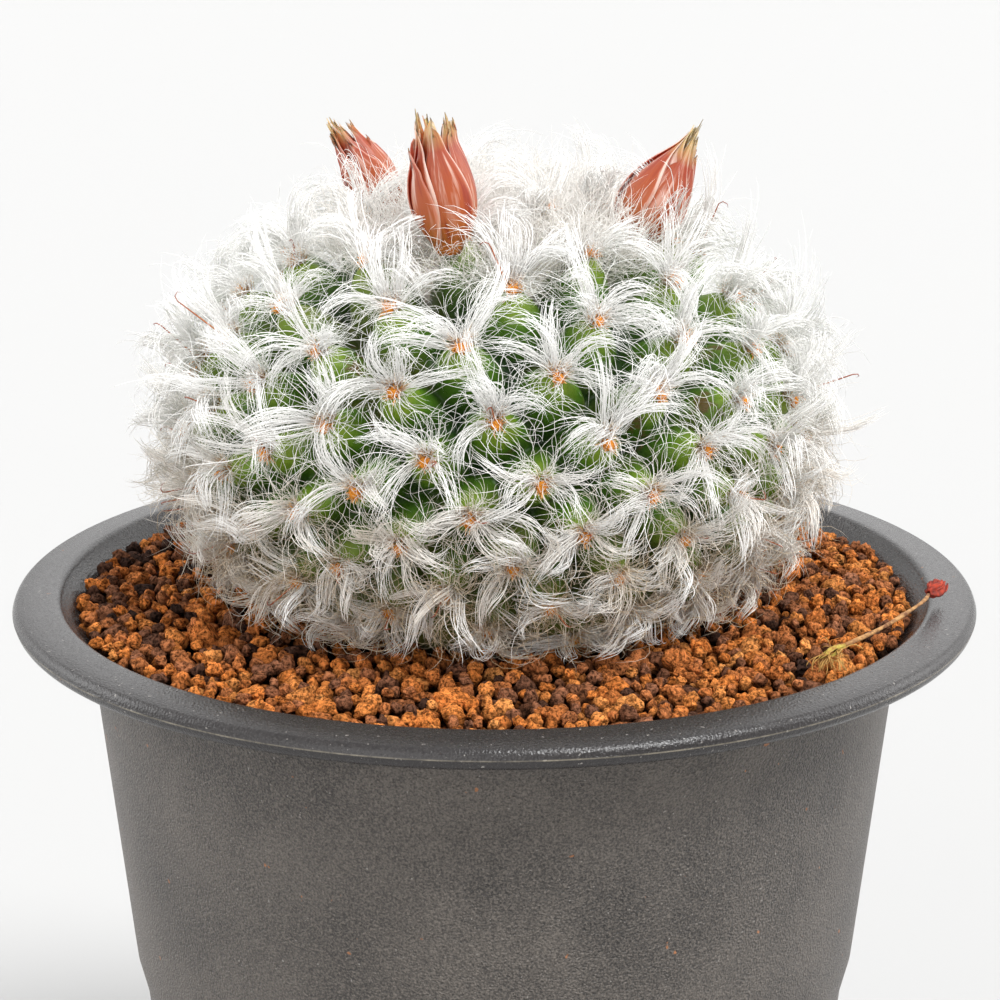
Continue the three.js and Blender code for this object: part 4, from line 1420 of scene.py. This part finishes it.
drySet = {
    "seed": 3,
    "stalk": 0.16 * mm,
    "bow": 0.20,  # how far the stalk bows, as a share of its width on the ground
    "headPetals": 9,
    "headLength": 3.6 * mm,
    "headWidth": 0.95 * mm,
    "bractLeaves": 5,
    "bractLength": 4.2 * mm,
    "bractWidth": 0.5 * mm,
    "fibres": 34,
    "fibreLength": (1.2 * mm, 3.4 * mm),
    "fibreSpots": (0.5 * mm, 3.4 * mm),  # along the bract
    "fibre": 0.045 * mm,
    "overSoil": 0.3 * mm,
    "grain": 1500,
    "stalkColour": (0.50, 0.27, 0.10),
    "stalkDarkColour": (0.15, 0.055, 0.020),
    "headColour": (0.42, 0.040, 0.014),
    "headDarkColour": (0.15, 0.016, 0.010),
    "bractColour": (0.46, 0.37, 0.06),
    "fibreColour": (0.62, 0.36, 0.10),
    "bractDarkColour": (0.28, 0.12, 0.022),
}


def dryFinish(name, light, dark):
    material, tree, shader = startFinish(name, Roughness=0.8)
    grain = noiseAt(tree, ownPlace(tree), drySet["grain"], 4.0, 0.6)
    paint(tree, shader, rampOf(tree, grain, drySet, **{dark: 0.35, light: 0.6}))
    addBump(tree, shader, grain, 0.15 * mm, 0.8)
    return material


def addDryPiece(name, finish, part, slotName):
    # a part's layout is the last of its arrays
    mesh = buildMesh(name + "Mesh", part[0], part[1], layout=part[-1])
    addPiece(name, mesh, finish, slotName, slotName.replace("dry_", "dry_flower_"))


def makeDryFlower():
    rng = np.random.default_rng(drySet["seed"])
    low, high = [np.array(corner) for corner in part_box("dry_flower_stalk")]
    middle = boxMiddle("dry_flower_stalk")
    start = np.array([low[0], low[1], low[2] + drySet["stalk"]])
    end = np.array([high[0], high[1], high[2] - drySet["stalk"]])
    share = np.linspace(0, 1, 24)[:, None]
    bow = np.array([(high[0] - low[0]) * drySet["bow"], 0, 0.5 * mm])
    path = start + (end - start) * share + bow * np.sin(np.pi * share)
    path[:, 0] += 0.12 * mm * np.sin(9 * share[:, 0])
    thick = drySet["stalk"] * (1 + 0.15 * np.sin(17 * share[:, 0]) + 0.25 * (1 - share[:, 0]))
    stalk = tubesAlong(path[None], thick[None], sides=10)
    addDryPiece("dried_stalk", dryFinish("dryStalk", "stalkColour", "stalkDarkColour"), stalk, "dry_stalk")
    toward = unitRows((boxMiddle("dry_flower_head") - middle)[None])[0]
    size = drySet["headLength"], drySet["headWidth"]
    head = crumpledLeaves(rng, end, toward, *size, drySet["headPetals"])
    addDryPiece("dried_head", dryFinish("dryHead", "headColour", "headDarkColour"), head, "dry_head")
    toward = unitRows((boxMiddle("dry_flower_bract") - middle)[None])[0]
    size = drySet["bractLength"], drySet["bractWidth"]
    bract = crumpledLeaves(rng, start, toward, *size, drySet["bractLeaves"])
    addDryPiece("dried_bract", dryFinish("dryBract", "bractColour", "bractDarkColour"), bract, "dry_bract")
    count = drySet["fibres"]
    roots = start + toward * rng.uniform(*drySet["fibreSpots"], (count, 1))
    ways = toward + rng.normal(size=roots.shape) * 0.8 + np.array([0, -0.5, -0.2])
    lengths = rng.uniform(*drySet["fibreLength"], count)
    paths = bendStrands(roots, unitRows(ways), lengths, np.array([0, 0, -1.5]), 10, 2.5, rng)
    paths[..., 2] = np.maximum(paths[..., 2], soilEdge + drySet["overSoil"])
    fibres = tubesAlong(paths, np.full(paths.shape[:2], drySet["fibre"]), sides=5)
    addDryPiece("dried_fibres", dryFinish("dryFibre", "fibreColour", "bractDarkColour"), fibres, "dry_bract")
    print("dried flower placed")


def crumpledLeaves(rng, root, toward, length, width, count):
    # shrivelled leaves that twist round one another
    side = unitRows(np.cross(toward, [0, 0, 1.0])[None])[0]
    over = np.cross(side, toward)
    parts = []
    for i in range(count):
        v, u = np.meshgrid(np.linspace(0, 1, 16), np.linspace(-1, 1, 7), indexing="ij")
        turn = 2 * math.pi * i / count + rng.normal() * 0.3
        reach = length * rng.uniform(0.75, 1.05)
        belly = width * (0.25 + 0.75 * np.sin(np.pi * np.clip(v * 0.92 + 0.04, 0, 1)))
        angle = turn + 1.3 * v + 0.75 * u * (1 - v ** 3) + 0.2 * np.sin(7 * v + i)
        radius = belly * (0.75 + 0.2 * np.sin(6 * v + 3 * u + i))
        middle = root + toward * (reach * v)[..., None]
        outward = side * (radius * np.cos(angle))[..., None] + over * (radius * np.sin(angle))[..., None]
        places, faces, layout = thinShell(middle + outward, middle + outward * 0.82, u, v)
        parts.append((places, faces, {}, layout))
    return joinParts(parts)


placeCamera()
placeStudio()
makePot()
makeSoil()
makeStem()
makeHair()
makeSpines()
makeBuds()
makeDryFlower()
